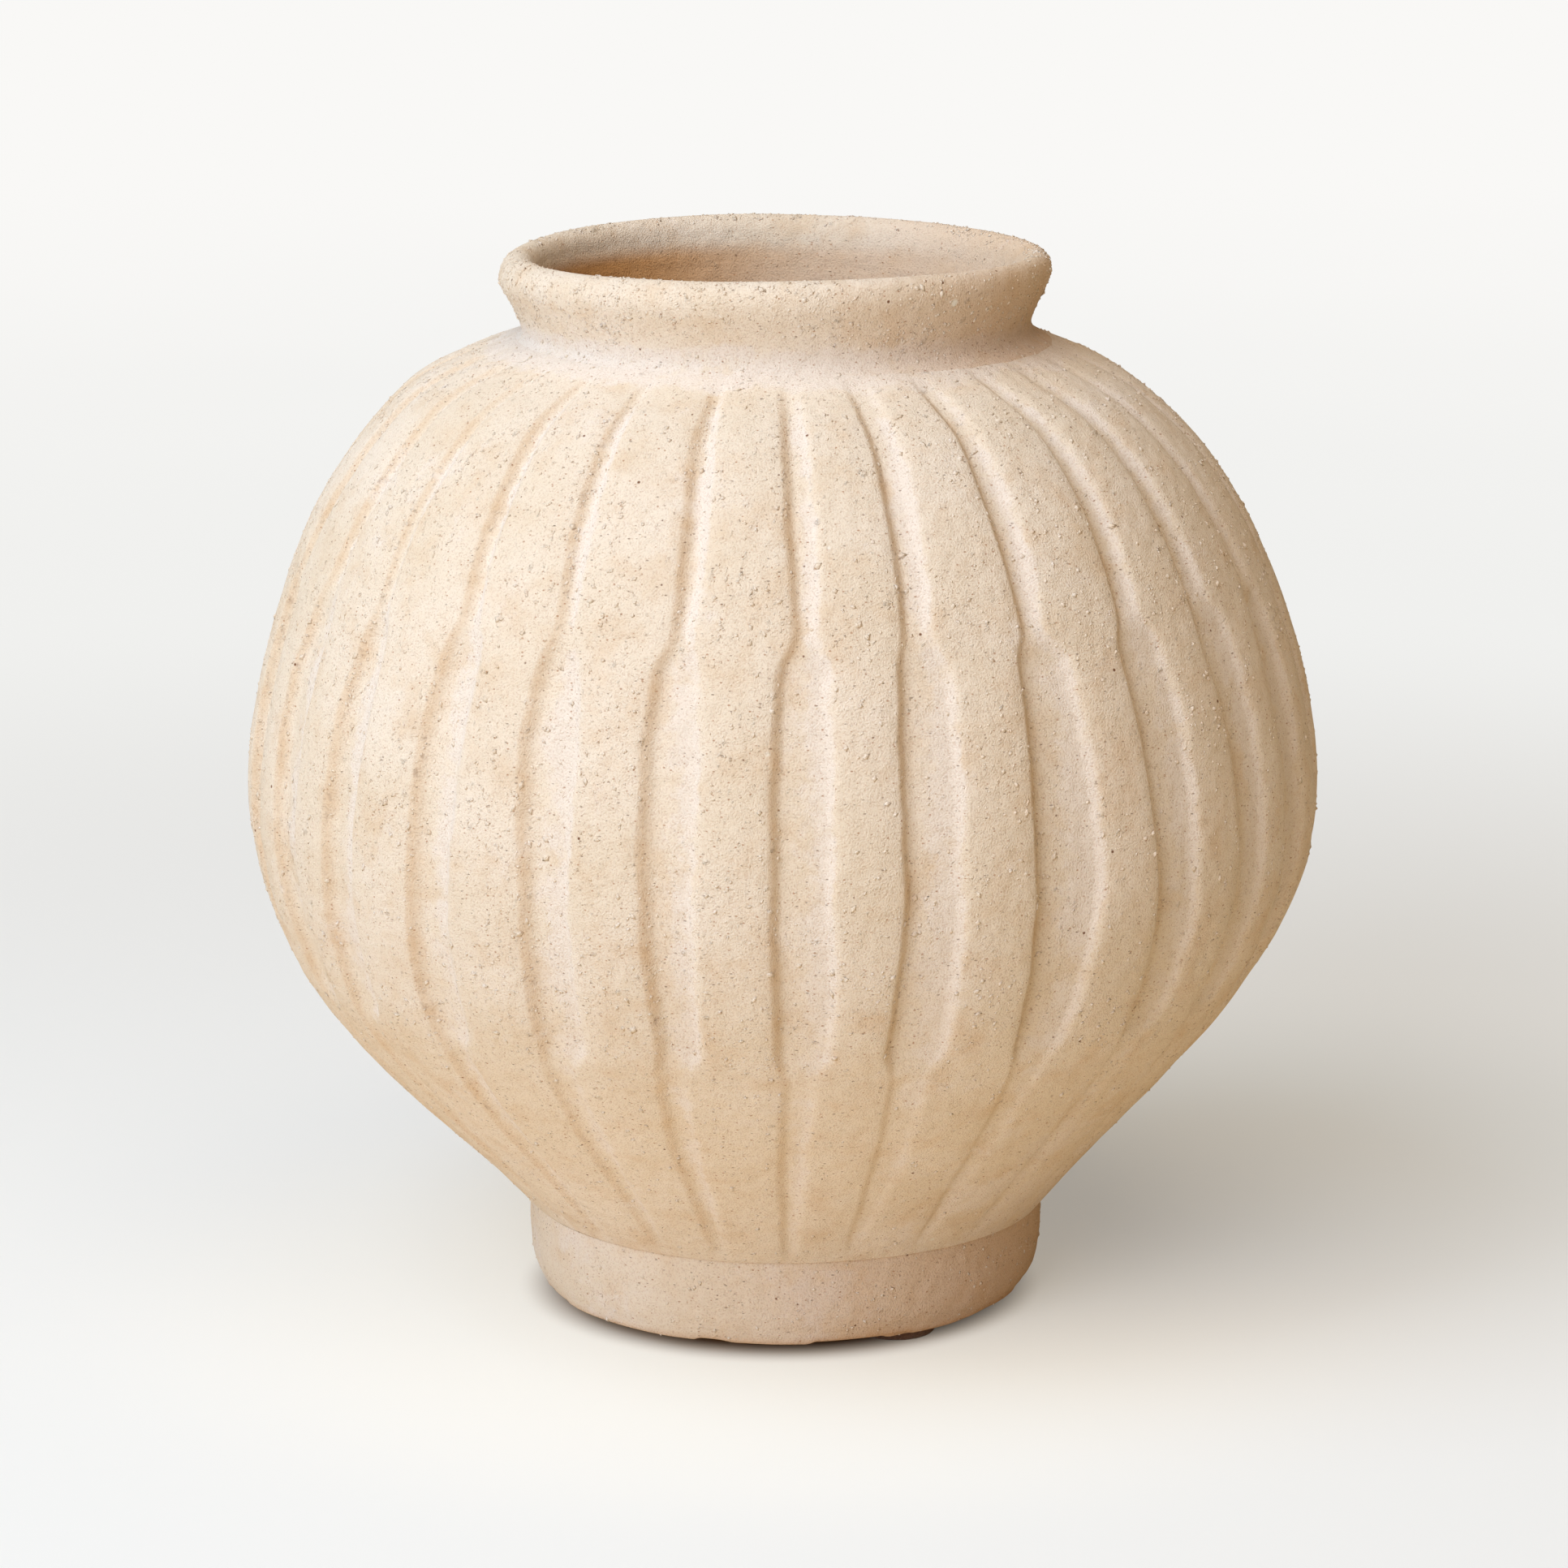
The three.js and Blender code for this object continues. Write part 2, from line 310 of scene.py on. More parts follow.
@dataclass(frozen=True)
class Cloud:
    """Soft patches of a size in millimetres, drawn from noise.

    With low and high given, they rise smoothly as the noise goes from the one to the other.
    """

    size: float
    detail: float
    low: float | None = None
    high: float = 1.0

    def draw(self, tree: NodeTree, place: NodeSocket) -> NodeSocket:
        """Adds the patches to a material.

        Args:
            tree: The material's nodes.
            place: The point in the piece's own coordinates.

        Returns:
            How far into a patch the point lies.
        """
        inputs = {"Vector": place, "Scale": 1 / (self.size * METRES), "Detail": self.detail, "Roughness": 0.6}
        patches = add_node(tree, "TexNoise", inputs)
        if self.low is None:
            return patches
        return add_node(tree, "MapRange", {0: patches, 1: self.low, 2: self.high}, **SOFT)


@dataclass(frozen=True)
class Grains:
    """Scattered grains of uneven size: mean spacing and largest radius in millimetres.

    Soft is the share of the radius over which a grain rises from its rim.
    """

    spacing: float
    radius: float
    soft: float = 0.5

    def draw(self, tree: NodeTree, place: NodeSocket) -> NodeSocket:
        """Adds the grains to a material.

        Args:
            tree: The material's nodes.
            place: The point in the piece's own coordinates.

        Returns:
            One inside a grain, falling to nought at its rim.
        """
        largest = self.radius / self.spacing
        inputs = {"Vector": place, "Scale": 1 / (self.spacing * METRES)}
        cells = add_node(tree, "TexVoronoi", inputs, "Distance")
        chance = add_node(tree, "SeparateColor", {"Color": cells.node.outputs["Color"]})
        size = add_node(tree, "Math", {0: chance, 1: largest}, operation="MULTIPLY")
        gap = add_node(tree, "Math", {0: size, 1: cells}, operation="SUBTRACT")
        return add_node(tree, "MapRange", {0: gap, 1: 0.0, 2: self.soft * largest}, **SOFT)


@dataclass(frozen=True)
class Finish:
    """A surface as its maker leaves it. Sizes are millimetres."""

    name: str

    def build(self) -> Material:
        """Makes the material.

        Returns:
            The material, with the shader that the finish dresses.
        """
        material = bpy.data.materials.new(self.name)
        material.use_nodes = True
        tree = material.node_tree
        tree.nodes.clear()
        add_node(tree, "OutputMaterial", {"Surface": self.dress(tree)})
        return material

    def dress(self, tree: NodeTree) -> NodeSocket:
        """Adds the finish's nodes and returns its shader."""
        raise NotImplementedError


@dataclass(frozen=True)
class CoarseClay(Finish):
    """Unglazed buff terracotta with grog, fired dry and matt.

    Sieved grog and sand leave a gritty skin with raised grains. Burnt-out matter leaves pinholes, grains
    rich in ferric oxide leave brown specks, and the pale slip that was wiped over the pot stays where its
    surface dips. The low places of the sand are darkened with the specks' brown as painted shade. Four
    masks are painted on the pieces. One is slip, which in places is painted light: on the crumbs, on the
    right of the lowest tier and, in part, towards the left of the foot. One is drag (trimming marks). One
    is the clay that the gouge tore, which also lays the stains' tan along the left wall of each flute as
    painted shade. One is the clay that was never wiped with slip, whose brown is also painted shade inside
    the pot, at the left inside the collar and on the shaded right of the collar and foot.
    """

    buff: str = "EDDFCD"
    rubbed: str = "F2E6D8"
    # The tan of the fire's stains. It is also laid on the flutes' left walls as painted shade.
    stain_and_shade_tan: str = "DEBF9A"
    slip: str = "F1E6DC"
    # Brown of clay that no slip covers, also used as painted shade.
    raw_and_shade: str = "CF9D66"
    # The specks' brown. It also paints shade between the sand grains.
    iron_and_hollow_shade: str = "A86C36"
    pit: str = "744115"
    lime: str = "F6F2EA"
    # Broad tones: rubbed patches, stains of the fire, and the slip's brush streaks and washes.
    patches: Cloud = Cloud(34.0, 2.0, 0.3, 0.72)
    stains: Cloud = Cloud(11.0, 4.0, 0.44, 0.8)
    streaks: Cloud = Cloud(4.0, 5.0)
    washes: Cloud = Cloud(17.0, 1.0)
    slip_starts: float = 2.1
    slip_covers: float = 2.9
    # Iron specks and sunk ticks are drawn upright, as the gouge drew them out.
    specks: Grains = Grains(1.3, 0.34)
    specks_stretch: tuple[float, float, float] = (0.8, 0.8, 1.2)
    ticks: Grains = Grains(1.6, 0.34)
    ticks_stretch: tuple[float, float, float] = (0.75, 0.75, 1.7)
    lime_blows: Grains = Grains(21.0, 1.3)
    pinholes: Grains = Grains(6.4, 0.5)
    # Real sand is 0.2 mm across, too fine to show, so it is drawn at 0.45 mm.
    sand: Cloud = Cloud(0.45, 1.0)
    swell: Cloud = Cloud(3.4, 0.0)
    rents: Cloud = Cloud(2.3, 3.0, 0.55, 0.72)
    torn_places: Cloud = Cloud(26.0, 1.0, 0.42, 0.62)
    gritty_places: Cloud = Cloud(20.0, 0.0, 0.36, 0.6)
    pimples: Grains = Grains(1.6, 0.5, 1.0)
    grog: Grains = Grains(5.0, 1.2, 0.8)
    # How far the sand frays the outline of a grain.
    fraying: float = 1.6
    drags: Cloud = Cloud(1.6, 1.0)
    drags_stretch: tuple[float, float, float] = (0.1, 0.1, 1.0)
    sand_height: float = 0.3
    swell_height: float = 0.5
    pimple_height: float = 0.3
    grog_height: float = 0.4
    pit_height: float = -0.3
    drag_height: float = 0.25

    def colour(self, tree: NodeTree, place: NodeSocket, sand: NodeSocket, pits: NodeSocket) -> NodeSocket:
        """The clay's colour: mottled buff, tan stains, pale slip where the surface dips, painted shade along
        the flutes' left walls, on the shaded sides and between the sand grains, then specks and pinholes.

        Args:
            tree: The material's nodes.
            place: The point in the piece's own coordinates.
            sand: The sand's noise.
            pits: How deep the point lies in a pit.

        Returns:
            The colour.
        """
        add = partial(add_node, tree)
        masks = ("slip", "torn_and_wall_shade", "raw_and_shade")
        slip, torn_and_wall_shade, raw_and_shade = (add("Attribute", {}, "Fac", attribute_name=mask) for mask in masks)
        # Painted shade: the stains' tan is also laid along the left wall of each flute, where shade falls.
        tan_and_shade = weighted(tree, [(self.stains.draw(tree, place), 0.45), (torn_and_wall_shade, 0.35)])
        terms = [(self.streaks.draw(tree, place), 2.2), (self.washes.draw(tree, place), 1.6), (slip, 1.0)]
        inputs = {0: weighted(tree, terms), 1: self.slip_starts, 2: self.slip_covers}
        slipped = add("MapRange", inputs, **SOFT)
        # Painted shade: the low places of the sand are darkened with the specks' brown, shade painted between
        # the grains.
        hollow_shade = add("MapRange", {0: sand, 1: 0.5, 2: 0.28}, **SOFT)
        drawn_out = add("Mapping", {"Vector": place, "Scale": self.specks_stretch})
        coats = [
            (self.patches.draw(tree, place), self.rubbed),
            (tan_and_shade, self.stain_and_shade_tan),
            (slipped, self.slip),
            (raw_and_shade, self.raw_and_shade),
            (weighted(tree, [(hollow_shade, 0.24)]), self.iron_and_hollow_shade),
            (weighted(tree, [(self.specks.draw(tree, drawn_out), 0.6)]), self.iron_and_hollow_shade),
            (self.lime_blows.draw(tree, place), self.lime),
            (weighted(tree, [(pits, 1.0), (self.pinholes.draw(tree, place), 0.9)]), self.pit),
        ]
        return coated(tree, self.buff, coats)

    def dress(self, tree: NodeTree) -> NodeSocket:
        """A rough dielectric whose relief is summed in metres.

        Args:
            tree: The material's nodes.

        Returns:
            The shader.
        """
        add = partial(add_node, tree)
        place = add("TexCoord", {}, "Object")
        masks = ("torn_and_wall_shade", "drag", "slip")
        torn_and_wall_shade, drag, slip = (add("Attribute", {}, "Fac", attribute_name=mask) for mask in masks)
        sand = self.sand.draw(tree, place)
        tears = add("Math", {0: self.rents.draw(tree, place), 1: torn_and_wall_shade}, operation="MULTIPLY")
        tears = add("Math", {0: tears, 1: self.torn_places.draw(tree, place)}, operation="MULTIPLY")
        ticks = self.ticks.draw(tree, add("Mapping", {"Vector": place, "Scale": self.ticks_stretch}))
        pits = weighted(tree, [(tears, 0.34), (ticks, 0.5)])
        gritty = self.gritty_places.draw(tree, place)
        loose = weighted(tree, [(gritty, 0.9), (torn_and_wall_shade, 0.6), (slip, -0.35), (drag, -0.75)])
        loose = add("MapRange", {0: loose, 1: -0.5, 2: 0.75}, **SOFT)
        frayed = weighted(tree, [(sand, self.fraying * METRES)])
        ragged = add("VectorMath", {0: place, 1: frayed}, operation="ADD")
        long = self.drags.draw(tree, add("Mapping", {"Vector": place, "Scale": self.drags_stretch}))
        pimples = add("Math", {0: self.pimples.draw(tree, ragged), 1: loose}, operation="MULTIPLY")
        grog = add("Math", {0: self.grog.draw(tree, ragged), 1: loose}, operation="MULTIPLY")
        terms = [
            (sand, self.sand_height),
            (self.swell.draw(tree, place), self.swell_height),
            (pimples, self.pimple_height),
            (grog, self.grog_height),
            (pits, self.pit_height),
            (add("Math", {0: long, 1: drag}, operation="MULTIPLY"), self.drag_height),
        ]
        relief = weighted(tree, [(term, height * METRES) for term, height in terms])
        inputs = {
            "Base Color": self.colour(tree, place, sand, pits),
            "Roughness": 0.92,
            "Diffuse Roughness": 0.4,
            "Specular IOR Level": 0.25,
            "Normal": add("Bump", {"Height": relief, "Distance": 1.0, "Strength": 1.0}),
        }
        return add("BsdfPrincipled", inputs)


@dataclass(frozen=True)
class NeedledFelt(Finish):
    """Dense needled wool felt, whose matted fibres make it matt, fuzzy and mottled brown."""

    wool: str = "6B4A35"
    light_wool: str = "8C6A50"
    # Real fibres mat at about 0.3 mm, too fine to show.
    matting: float = 0.5
    fuzz_height: float = 0.3

    def dress(self, tree: NodeTree) -> NodeSocket:
        """Matted fibres with the sheen of wool.

        Args:
            tree: The material's nodes.

        Returns:
            The shader.
        """
        add = partial(add_node, tree)
        place = add("TexCoord", {}, "Object")
        scale = 1 / (self.matting * METRES)
        fibres = add("TexNoise", {"Vector": place, "Scale": scale, "Detail": 4.0, "Distortion": 1.4})
        light = add("MapRange", {0: fibres, 1: 0.35, 2: 0.7}, **SOFT)
        inputs = {
            "Base Color": coated(tree, self.wool, [(light, self.light_wool)]),
            "Roughness": 1.0,
            "Sheen Weight": 0.3,
            "Sheen Roughness": 0.6,
            "Normal": add("Bump", {"Height": fibres, "Distance": self.fuzz_height * METRES, "Strength": 1.0}),
        }
        return add("BsdfPrincipled", inputs)


@dataclass(frozen=True)
class PressureAdhesive(Finish):
    """The glue layer on a stick-on pad, half-glossy and cloudy where it wets the clay."""

    glue: str = "D8D2C4"
    cloudy: str = "C4BCA8"
    patch: float = 2.5
    ripple_height: float = 0.05

    def dress(self, tree: NodeTree) -> NodeSocket:
        """A half-glossy film with cloudy patches.

        Args:
            tree: The material's nodes.

        Returns:
            The shader.
        """
        add = partial(add_node, tree)
        place = add("TexCoord", {}, "Object")
        patches = add("TexNoise", {"Vector": place, "Scale": 1 / (self.patch * METRES), "Detail": 3.0})
        wet = add("MapRange", {0: patches, 1: 0.4, 2: 0.65}, **SOFT)
        colour = coated(tree, self.glue, [(wet, self.cloudy)])
        ripple = add("Bump", {"Height": patches, "Distance": self.ripple_height * METRES, "Strength": 1.0})
        return add("BsdfPrincipled", {"Base Color": colour, "Roughness": 0.4, "Normal": ripple})


@dataclass(frozen=True)
class StudioPaper(Finish):
    """Pale seamless paper. Far from the vase the camera sees it evenly lit, as a lit backdrop would be."""

    near: str = "C8CCD0"
    # Painted contact shadow: the brown that the paper turns under the foot, where its glow is taken away.
    gap: str = "8A6A48"
    # The glow that the camera sees on the paper near the vase is painted light that lifts the shadows. It is
    # brighter close to the foot and dimmer in a painted shadow behind the vase at the right.
    open_glow: str = "9D9A95"
    close_glow: str = "B0A99B"
    shade_glow: str = "8E8F8C"
    low: str = "F0F0EE"
    high: str = "F9F8F6"
    bounce: str = "FCE9C6"
    # Distances from the vase's axis between which one tone turns into the next.
    gap_reach: float = 50.0
    open_reach: float = 67.0
    close_reach: float = 200.0
    # Where the painted shadow on the paper lies, and how far from there it is full and where it has faded.
    shade_place: tuple[float, float] = (130.0, 100.0)
    shade_core: float = 50.0
    shade_reach: float = 210.0
    shaded_reach: float = 330.0
    even_reach: float = 900.0
    high_reach: float = 2600.0

    def dress(self, tree: NodeTree) -> NodeSocket:
        """Diffuse paper that keeps a soft shadow near the vase and is even further out. Near the vase the
        camera
        also sees it glow: painted light, brighter close to the foot and dimmer in a painted shadow behind the
        vase at the right. Under the foot the glow is gone and the paper is brown, a painted contact shadow.

        Args:
            tree: The material's nodes.

        Returns:
            The shader.
        """
        add = partial(add_node, tree)
        place = add("TexCoord", {}, "Object")
        reach = add("VectorMath", {0: place}, "Value", operation="LENGTH")
        grain = add("TexNoise", {"Vector": place, "Scale": 3.0, "Detail": 1.0})
        uneven = weighted(tree, [(reach, 1.0), (grain, 0.3)])
        centre = (self.shade_place[0] * METRES, self.shade_place[1] * METRES, 0.0)
        off = add("VectorMath", {0: place, 1: centre}, "Value", operation="DISTANCE")
        spans = (
            (uneven, self.even_reach, self.high_reach),
            (reach, self.gap_reach, self.open_reach),
            (reach, self.close_reach, self.open_reach),
            (off, self.shade_reach, self.shade_core),
            (reach, self.shaded_reach, self.even_reach),
        )
        higher, clear, close, shade, away = (
            add("MapRange", {0: value, 1: start * METRES, 2: end * METRES}, **SOFT)
            for value, start, end in spans
        )
        even = add("Emission", {"Color": coated(tree, self.low, [(higher, self.high)]), "Strength": 1.0})
        # Painted contact shadow: under the foot the paper turns brown.
        paper = add("BsdfDiffuse", {"Color": coated(tree, self.gap, [(clear, self.near)]), "Roughness": 0.5})
        # Painted light and painted shadow: the glow that the camera sees near the vase.
        lit = coated(tree, self.open_glow, [(close, self.close_glow), (shade, self.shade_glow)])
        near = add("AddShader", {0: paper, 1: add("Emission", {"Color": lit, "Strength": clear})})
        shown = add("MixShader", {0: away, 1: near, 2: even})
        warm = add("BsdfDiffuse", {"Color": linear(self.bounce), "Roughness": 0.5})
        return add("MixShader", {0: add("LightPath", {}, "Is Camera Ray"), 1: warm, 2: shown})


@dataclass
class Piece:
    """A finished piece of the vase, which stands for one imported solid, or for none if node is empty."""

    name: str
    node: str
    slot: str

    def settle(self, bm: BMesh, finish: Material, crease: float = 40.0) -> Object:
        """Writes a mesh in metres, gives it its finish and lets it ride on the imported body.

        Args:
            bm: The mesh, in millimetres.
            finish: Its material.
            crease: Angle past which an edge stays sharp.

        Returns:
            The object.
        """
        bm.transform(Matrix.Scale(METRES, 4))
        mesh = bpy.data.meshes.new(self.name)
        bm.to_mesh(mesh)
        bm.free()
        mesh.shade_smooth()
        mesh.set_sharp_from_angle(angle=math.radians(crease))
        mesh.materials.append(finish)
        piece = bpy.data.objects.new(self.name, mesh)
        bpy.context.scene.collection.objects.link(piece)
        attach(piece, "root")
        if self.node:
            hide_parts(self.node)
        LOG.info("%s: %d faces, for %s", self.name, len(mesh.polygons), self.node or "no solid")
        return piece

    def shape(self, bm: BMesh, points: np.ndarray, masks: dict[str, np.ndarray]) -> None:
        """Moves a mesh's points and paints its masks.

        Args:
            bm: The mesh.
            points: The new place of each point, in millimetres.
            masks: A value for each point, by the mask's name.
        """
        layers = {name: bm.verts.layers.float.new(name) for name in masks}
        for index, vert in enumerate(bm.verts):
            vert.co = points[index]
            for name, layer in layers.items():
                vert[layer] = masks[name][index]

    def read(self, bm: BMesh) -> tuple[np.ndarray, np.ndarray, np.ndarray, np.ndarray]:
        """Reads where the points of a turned mesh lie.

        Args:
            bm: The mesh.

        Returns:
            Row, azimuth, radius and height of each point.
        """
        layer = bm.verts.layers.int["row"]
        rows = np.array([vert[layer] for vert in bm.verts])
        place = np.array([vert.co for vert in bm.verts])
        azimuth = np.degrees(np.arctan2(place[:, 0], -place[:, 1])) % FULL_TURN
        return rows, azimuth, np.hypot(place[:, 0], place[:, 1]), place[:, 2]


@dataclass(frozen=True)
class Flute:
    """One flute, as the gouge left it.

    Left and right give the azimuths of its edges at the heights of EDGE_HEIGHTS, and depth is how deep
    the foot, belly and shoulder tiers are cut against the usual depth.
    """

    left: tuple[float, ...]
    right: tuple[float, ...]
    depth: tuple[float, float, float] = (1.0, 1.0, 1.0)


# Heights at which a flute's edges are given: three on the foot tier, and four each on belly and shoulder.
EDGE_HEIGHTS = (28.0, 60.0, 85.5, 91.5, 130.0, 165.0, 183.0, 189.0, 210.0, 230.0, 240.0)
# Edges of a flute that nobody sees from the front, from its own middle.
USUAL_LEFT = (-2.6, -2.9, -3.0, -3.9, -4.0, -4.2, -3.4, -2.2, -2.1, -2.3, -2.9)
USUAL_RIGHT = (0.6, 0.6, 0.8, 2.4, 2.6, 2.6, 2.4, 1.4, 1.6, 1.6, 1.2)
# Flutes on the front, from the left, with the number of the flute that each is.
FRONT_FLUTES = {
    -4: Flute(
        (-53.5, -56.0, -57.3, -57.0, -55.3, -54.7, -53.0, -52.0, -52.6, -52.8, -53.0),
        (-50.8, -53.0, -53.5, -51.0, -49.6, -48.9, -49.0, -50.0, -50.3, -50.0, -50.3),
        (0.9, 1.0, 0.6),
    ),
    -3: Flute(
        (-41.5, -42.8, -42.0, -42.5, -41.0, -40.5, -39.5, -38.2, -39.2, -40.3, -40.5),
        (-38.8, -38.0, -38.0, -36.2, -35.3, -34.3, -34.1, -35.3, -36.2, -37.0, -37.3),
        (1.2, 1.0, 1.0),
    ),
    -2: Flute(
        (-26.8, -28.0, -27.8, -27.3, -26.8, -27.8, -26.8, -25.4, -26.4, -27.0, -27.2),
        (-23.8, -23.4, -23.5, -21.2, -21.2, -20.8, -21.5, -22.8, -23.4, -24.2, -24.6),
        (1.0, 1.0, 0.9),
    ),
    -1: Flute(
        (-14.0, -14.8, -14.0, -13.4, -14.0, -14.2, -13.5, -11.8, -12.0, -13.2, -12.6),
        (-10.0, -10.5, -10.2, -8.2, -8.2, -7.7, -8.2, -9.2, -8.3, -9.3, -10.0),
        (1.0, 1.0, 1.15),
    ),
    0: Flute(
        (0.3, -0.3, 0.2, -0.5, -0.9, -0.9, -0.2, 1.6, 0.9, 0.4, -0.2),
        (3.9, 4.1, 4.6, 6.0, 5.7, 5.8, 5.8, 4.8, 5.0, 4.8, 4.3),
        (0.9, 1.0, 1.0),
    ),
    1: Flute(
        (13.5, 13.0, 12.6, 11.5, 12.5, 12.4, 12.8, 13.6, 13.8, 13.6, 12.4),
        (17.0, 18.3, 17.0, 18.7, 18.9, 19.0, 19.1, 17.2, 17.9, 18.4, 18.0),
        (0.6, 1.0, 1.1),
    ),
    2: Flute(
        (28.5, 27.8, 27.3, 26.7, 26.5, 26.6, 26.6, 27.8, 27.4, 27.5, 26.2),
        (31.5, 32.0, 32.0, 33.2, 34.8, 34.1, 33.4, 30.8, 31.8, 31.8, 31.0),
        (0.55, 1.0, 1.15),
    ),
    3: Flute(
        (42.5, 42.3, 42.4, 42.5, 41.6, 40.6, 40.0, 41.3, 42.1, 42.2, 40.8),
        (45.5, 46.0, 46.5, 48.5, 48.0, 48.0, 46.9, 44.8, 46.1, 46.3, 45.5),
        (0.35, 0.9, 1.1),
    ),
    4: Flute(
        (56.0, 56.0, 55.5, 54.8, 55.0, 54.5, 53.5, 53.6, 54.5, 54.4, 53.3),
        (59.0, 59.5, 60.0, 60.5, 61.0, 61.0, 60.0, 58.0, 58.6, 58.6, 58.0),
        (0.35, 0.8, 1.0),
    ),
}


@dataclass
class FlutedBelly(Piece):
    """The hollow, round body, carved with three tiers of flutes."""

    name: str = "fluted_belly"
    node: str = "belly"
    slot: str = "buff_clay"
    seat: float = FOOT_SEAT
    seat_radius: float = 64.8
    widest: float = 131.8
    below: float = 105.0
    above: float = 111.95
    neck_radius: float = 65.6
    throat: float = 54.0
    wall: float = 8.0
    foot_angle: float = 49.5
    foot_handle: float = 42.0
    handles: tuple[float, float] = (44.0, 25.0)
    neck_angle: float = 20.0
    neck_handle: float = 57.0
    flutes: int = 27
    first_flute: float = 3.3
    row_spacing: float = 1.84
    inner_rows: int = 7
    # Columns of points on a flute's left side, floor, right side and the ridge beside it.
    columns: tuple[int, int, int, int] = (5, 5, 6, 6)
    # Width of a flute's left side outside and inside its edge, the second by the flute's azimuth: the
    # gouge scooped at the left and cut steeply at the right.
    left_side: float = 1.0
    scoop_azimuths: tuple[float, ...] = (-110, -60, -15, 12, 60, 110)
    scoops: tuple[float, ...] = (2.6, 3.7, 3.5, 1.9, 1.9, 2.6)
    right_side: tuple[float, float] = (2.8, 0.9)
    floor_tilt: float = 0.38
    ridge_crown: float = 0.35
    # Usual depth of the flutes at heights above the table.
    depth_heights: tuple[float, ...] = (
        26, 31, 45, 79, 86, 91.5, 100, 166, 181.5, 187, 193, 214, 229, 237, 240.5, 241.8,
    )
    depths: tuple[float, ...] = (
        0, 0.9, 1.4, 1.4, 0.9, 2.4, 2.95, 2.95, 2.65, 1.25, 2.1, 2.4, 2.0, 1.2, 0.3, 0.0,
    )
    # Half the height over which the bends of an edge are rounded off.
    rounding: float = 1.3
    # Heights at which the depths of the tiers pass into each other: foot to belly, and belly to shoulder.
    tier_heights: tuple[float, float, float, float] = (84.0, 92.0, 182.0, 190.0)
    # Flutes narrower than this have narrower sides too.
    full_width: float = 6.0
    # How far the gouge strayed from its line, and over what length.
    stray: float = 0.55
    stray_length: float = 11.0
    # Lumps of slip that stayed under the collar: azimuth, height, spread and thickness.
    lumps: tuple[tuple[float, float, float, float], ...] = (
        (-21.7, 240.2, 2.6, 1.0),
        (1.2, 240.8, 2.2, 0.8),
        (23.5, 240.6, 3.0, 0.9),
        (-48.0, 240.4, 2.4, 0.7),
        (61.0, 240.6, 2.8, 0.8),
    )
    # How far the thrown shape leans out at the left and right of the front, at heights.
    lean_heights: tuple[float, ...] = (25, 45, 65, 90, 105, 118, 142, 178, 200, 215, 228, 240)
    lean_left: tuple[float, ...] = (-1.3, -0.3, 0.6, 0.9, -0.5, -1.1, -0.8, -0.8, 0.4, 0.9, 1.4, 0.4)
    lean_right: tuple[float, ...] = (1.3, 0.3, -0.9, -0.5, 0.1, 0.85, 0.6, 0.2, 0.2, 0.1, -0.4, -0.3)
    # How much lower the shoulder lies beside the neck, where the collar was pressed down on it.
    neck_drop: float = 1.5
    # Height and length of the slow and of the quick unevenness of the wall.
    slow_waver: tuple[float, float] = (0.42, 30.0)
    quick_waver: tuple[float, float] = (0.16, 8.0)
    # Heights between which the smear of slip that holds the collar starts.
    smear: tuple[float, float] = (237.6, 240.4)

    def flank(self, upper: bool, share: np.ndarray) -> tuple[np.ndarray, np.ndarray]:
        """Points and outward normals of a flank of the outline.

        Args:
            upper: Whether the flank above the widest ring is meant.
            share: Shares of the way up the flank.

        Returns:
            Radius and height above the seat of the points, and their normals.
        """
        rise, fall = math.radians(self.foot_angle), math.radians(self.neck_angle)
        top = self.below + self.above
        if upper:
            back = (self.neck_handle * math.cos(fall), self.neck_handle * math.sin(fall))
            ends = (
                (self.widest, self.below),
                (self.widest, self.below + self.handles[1]),
                (self.neck_radius + back[0], top - back[1]),
                (self.neck_radius, top),
            )
        else:
            out = (self.foot_handle * math.cos(rise), self.foot_handle * math.sin(rise))
            ends = (
                (self.seat_radius, 0.0),
                (self.seat_radius + out[0], out[1]),
                (self.widest, self.below - self.handles[0]),
                (self.widest, self.below),
            )
        a, b, c, d = np.array(ends)
        t = np.asarray(share, float)[:, None]
        point = (1 - t) ** 3 * a + 3 * t * (1 - t) ** 2 * b + 3 * t**2 * (1 - t) * c + t**3 * d
        along = (1 - t) ** 2 * (b - a) + 2 * t * (1 - t) * (c - b) + t**2 * (d - c)
        along /= np.hypot(along[:, :1], along[:, 1:])
        return point, np.c_[along[:, 1], -along[:, 0]]

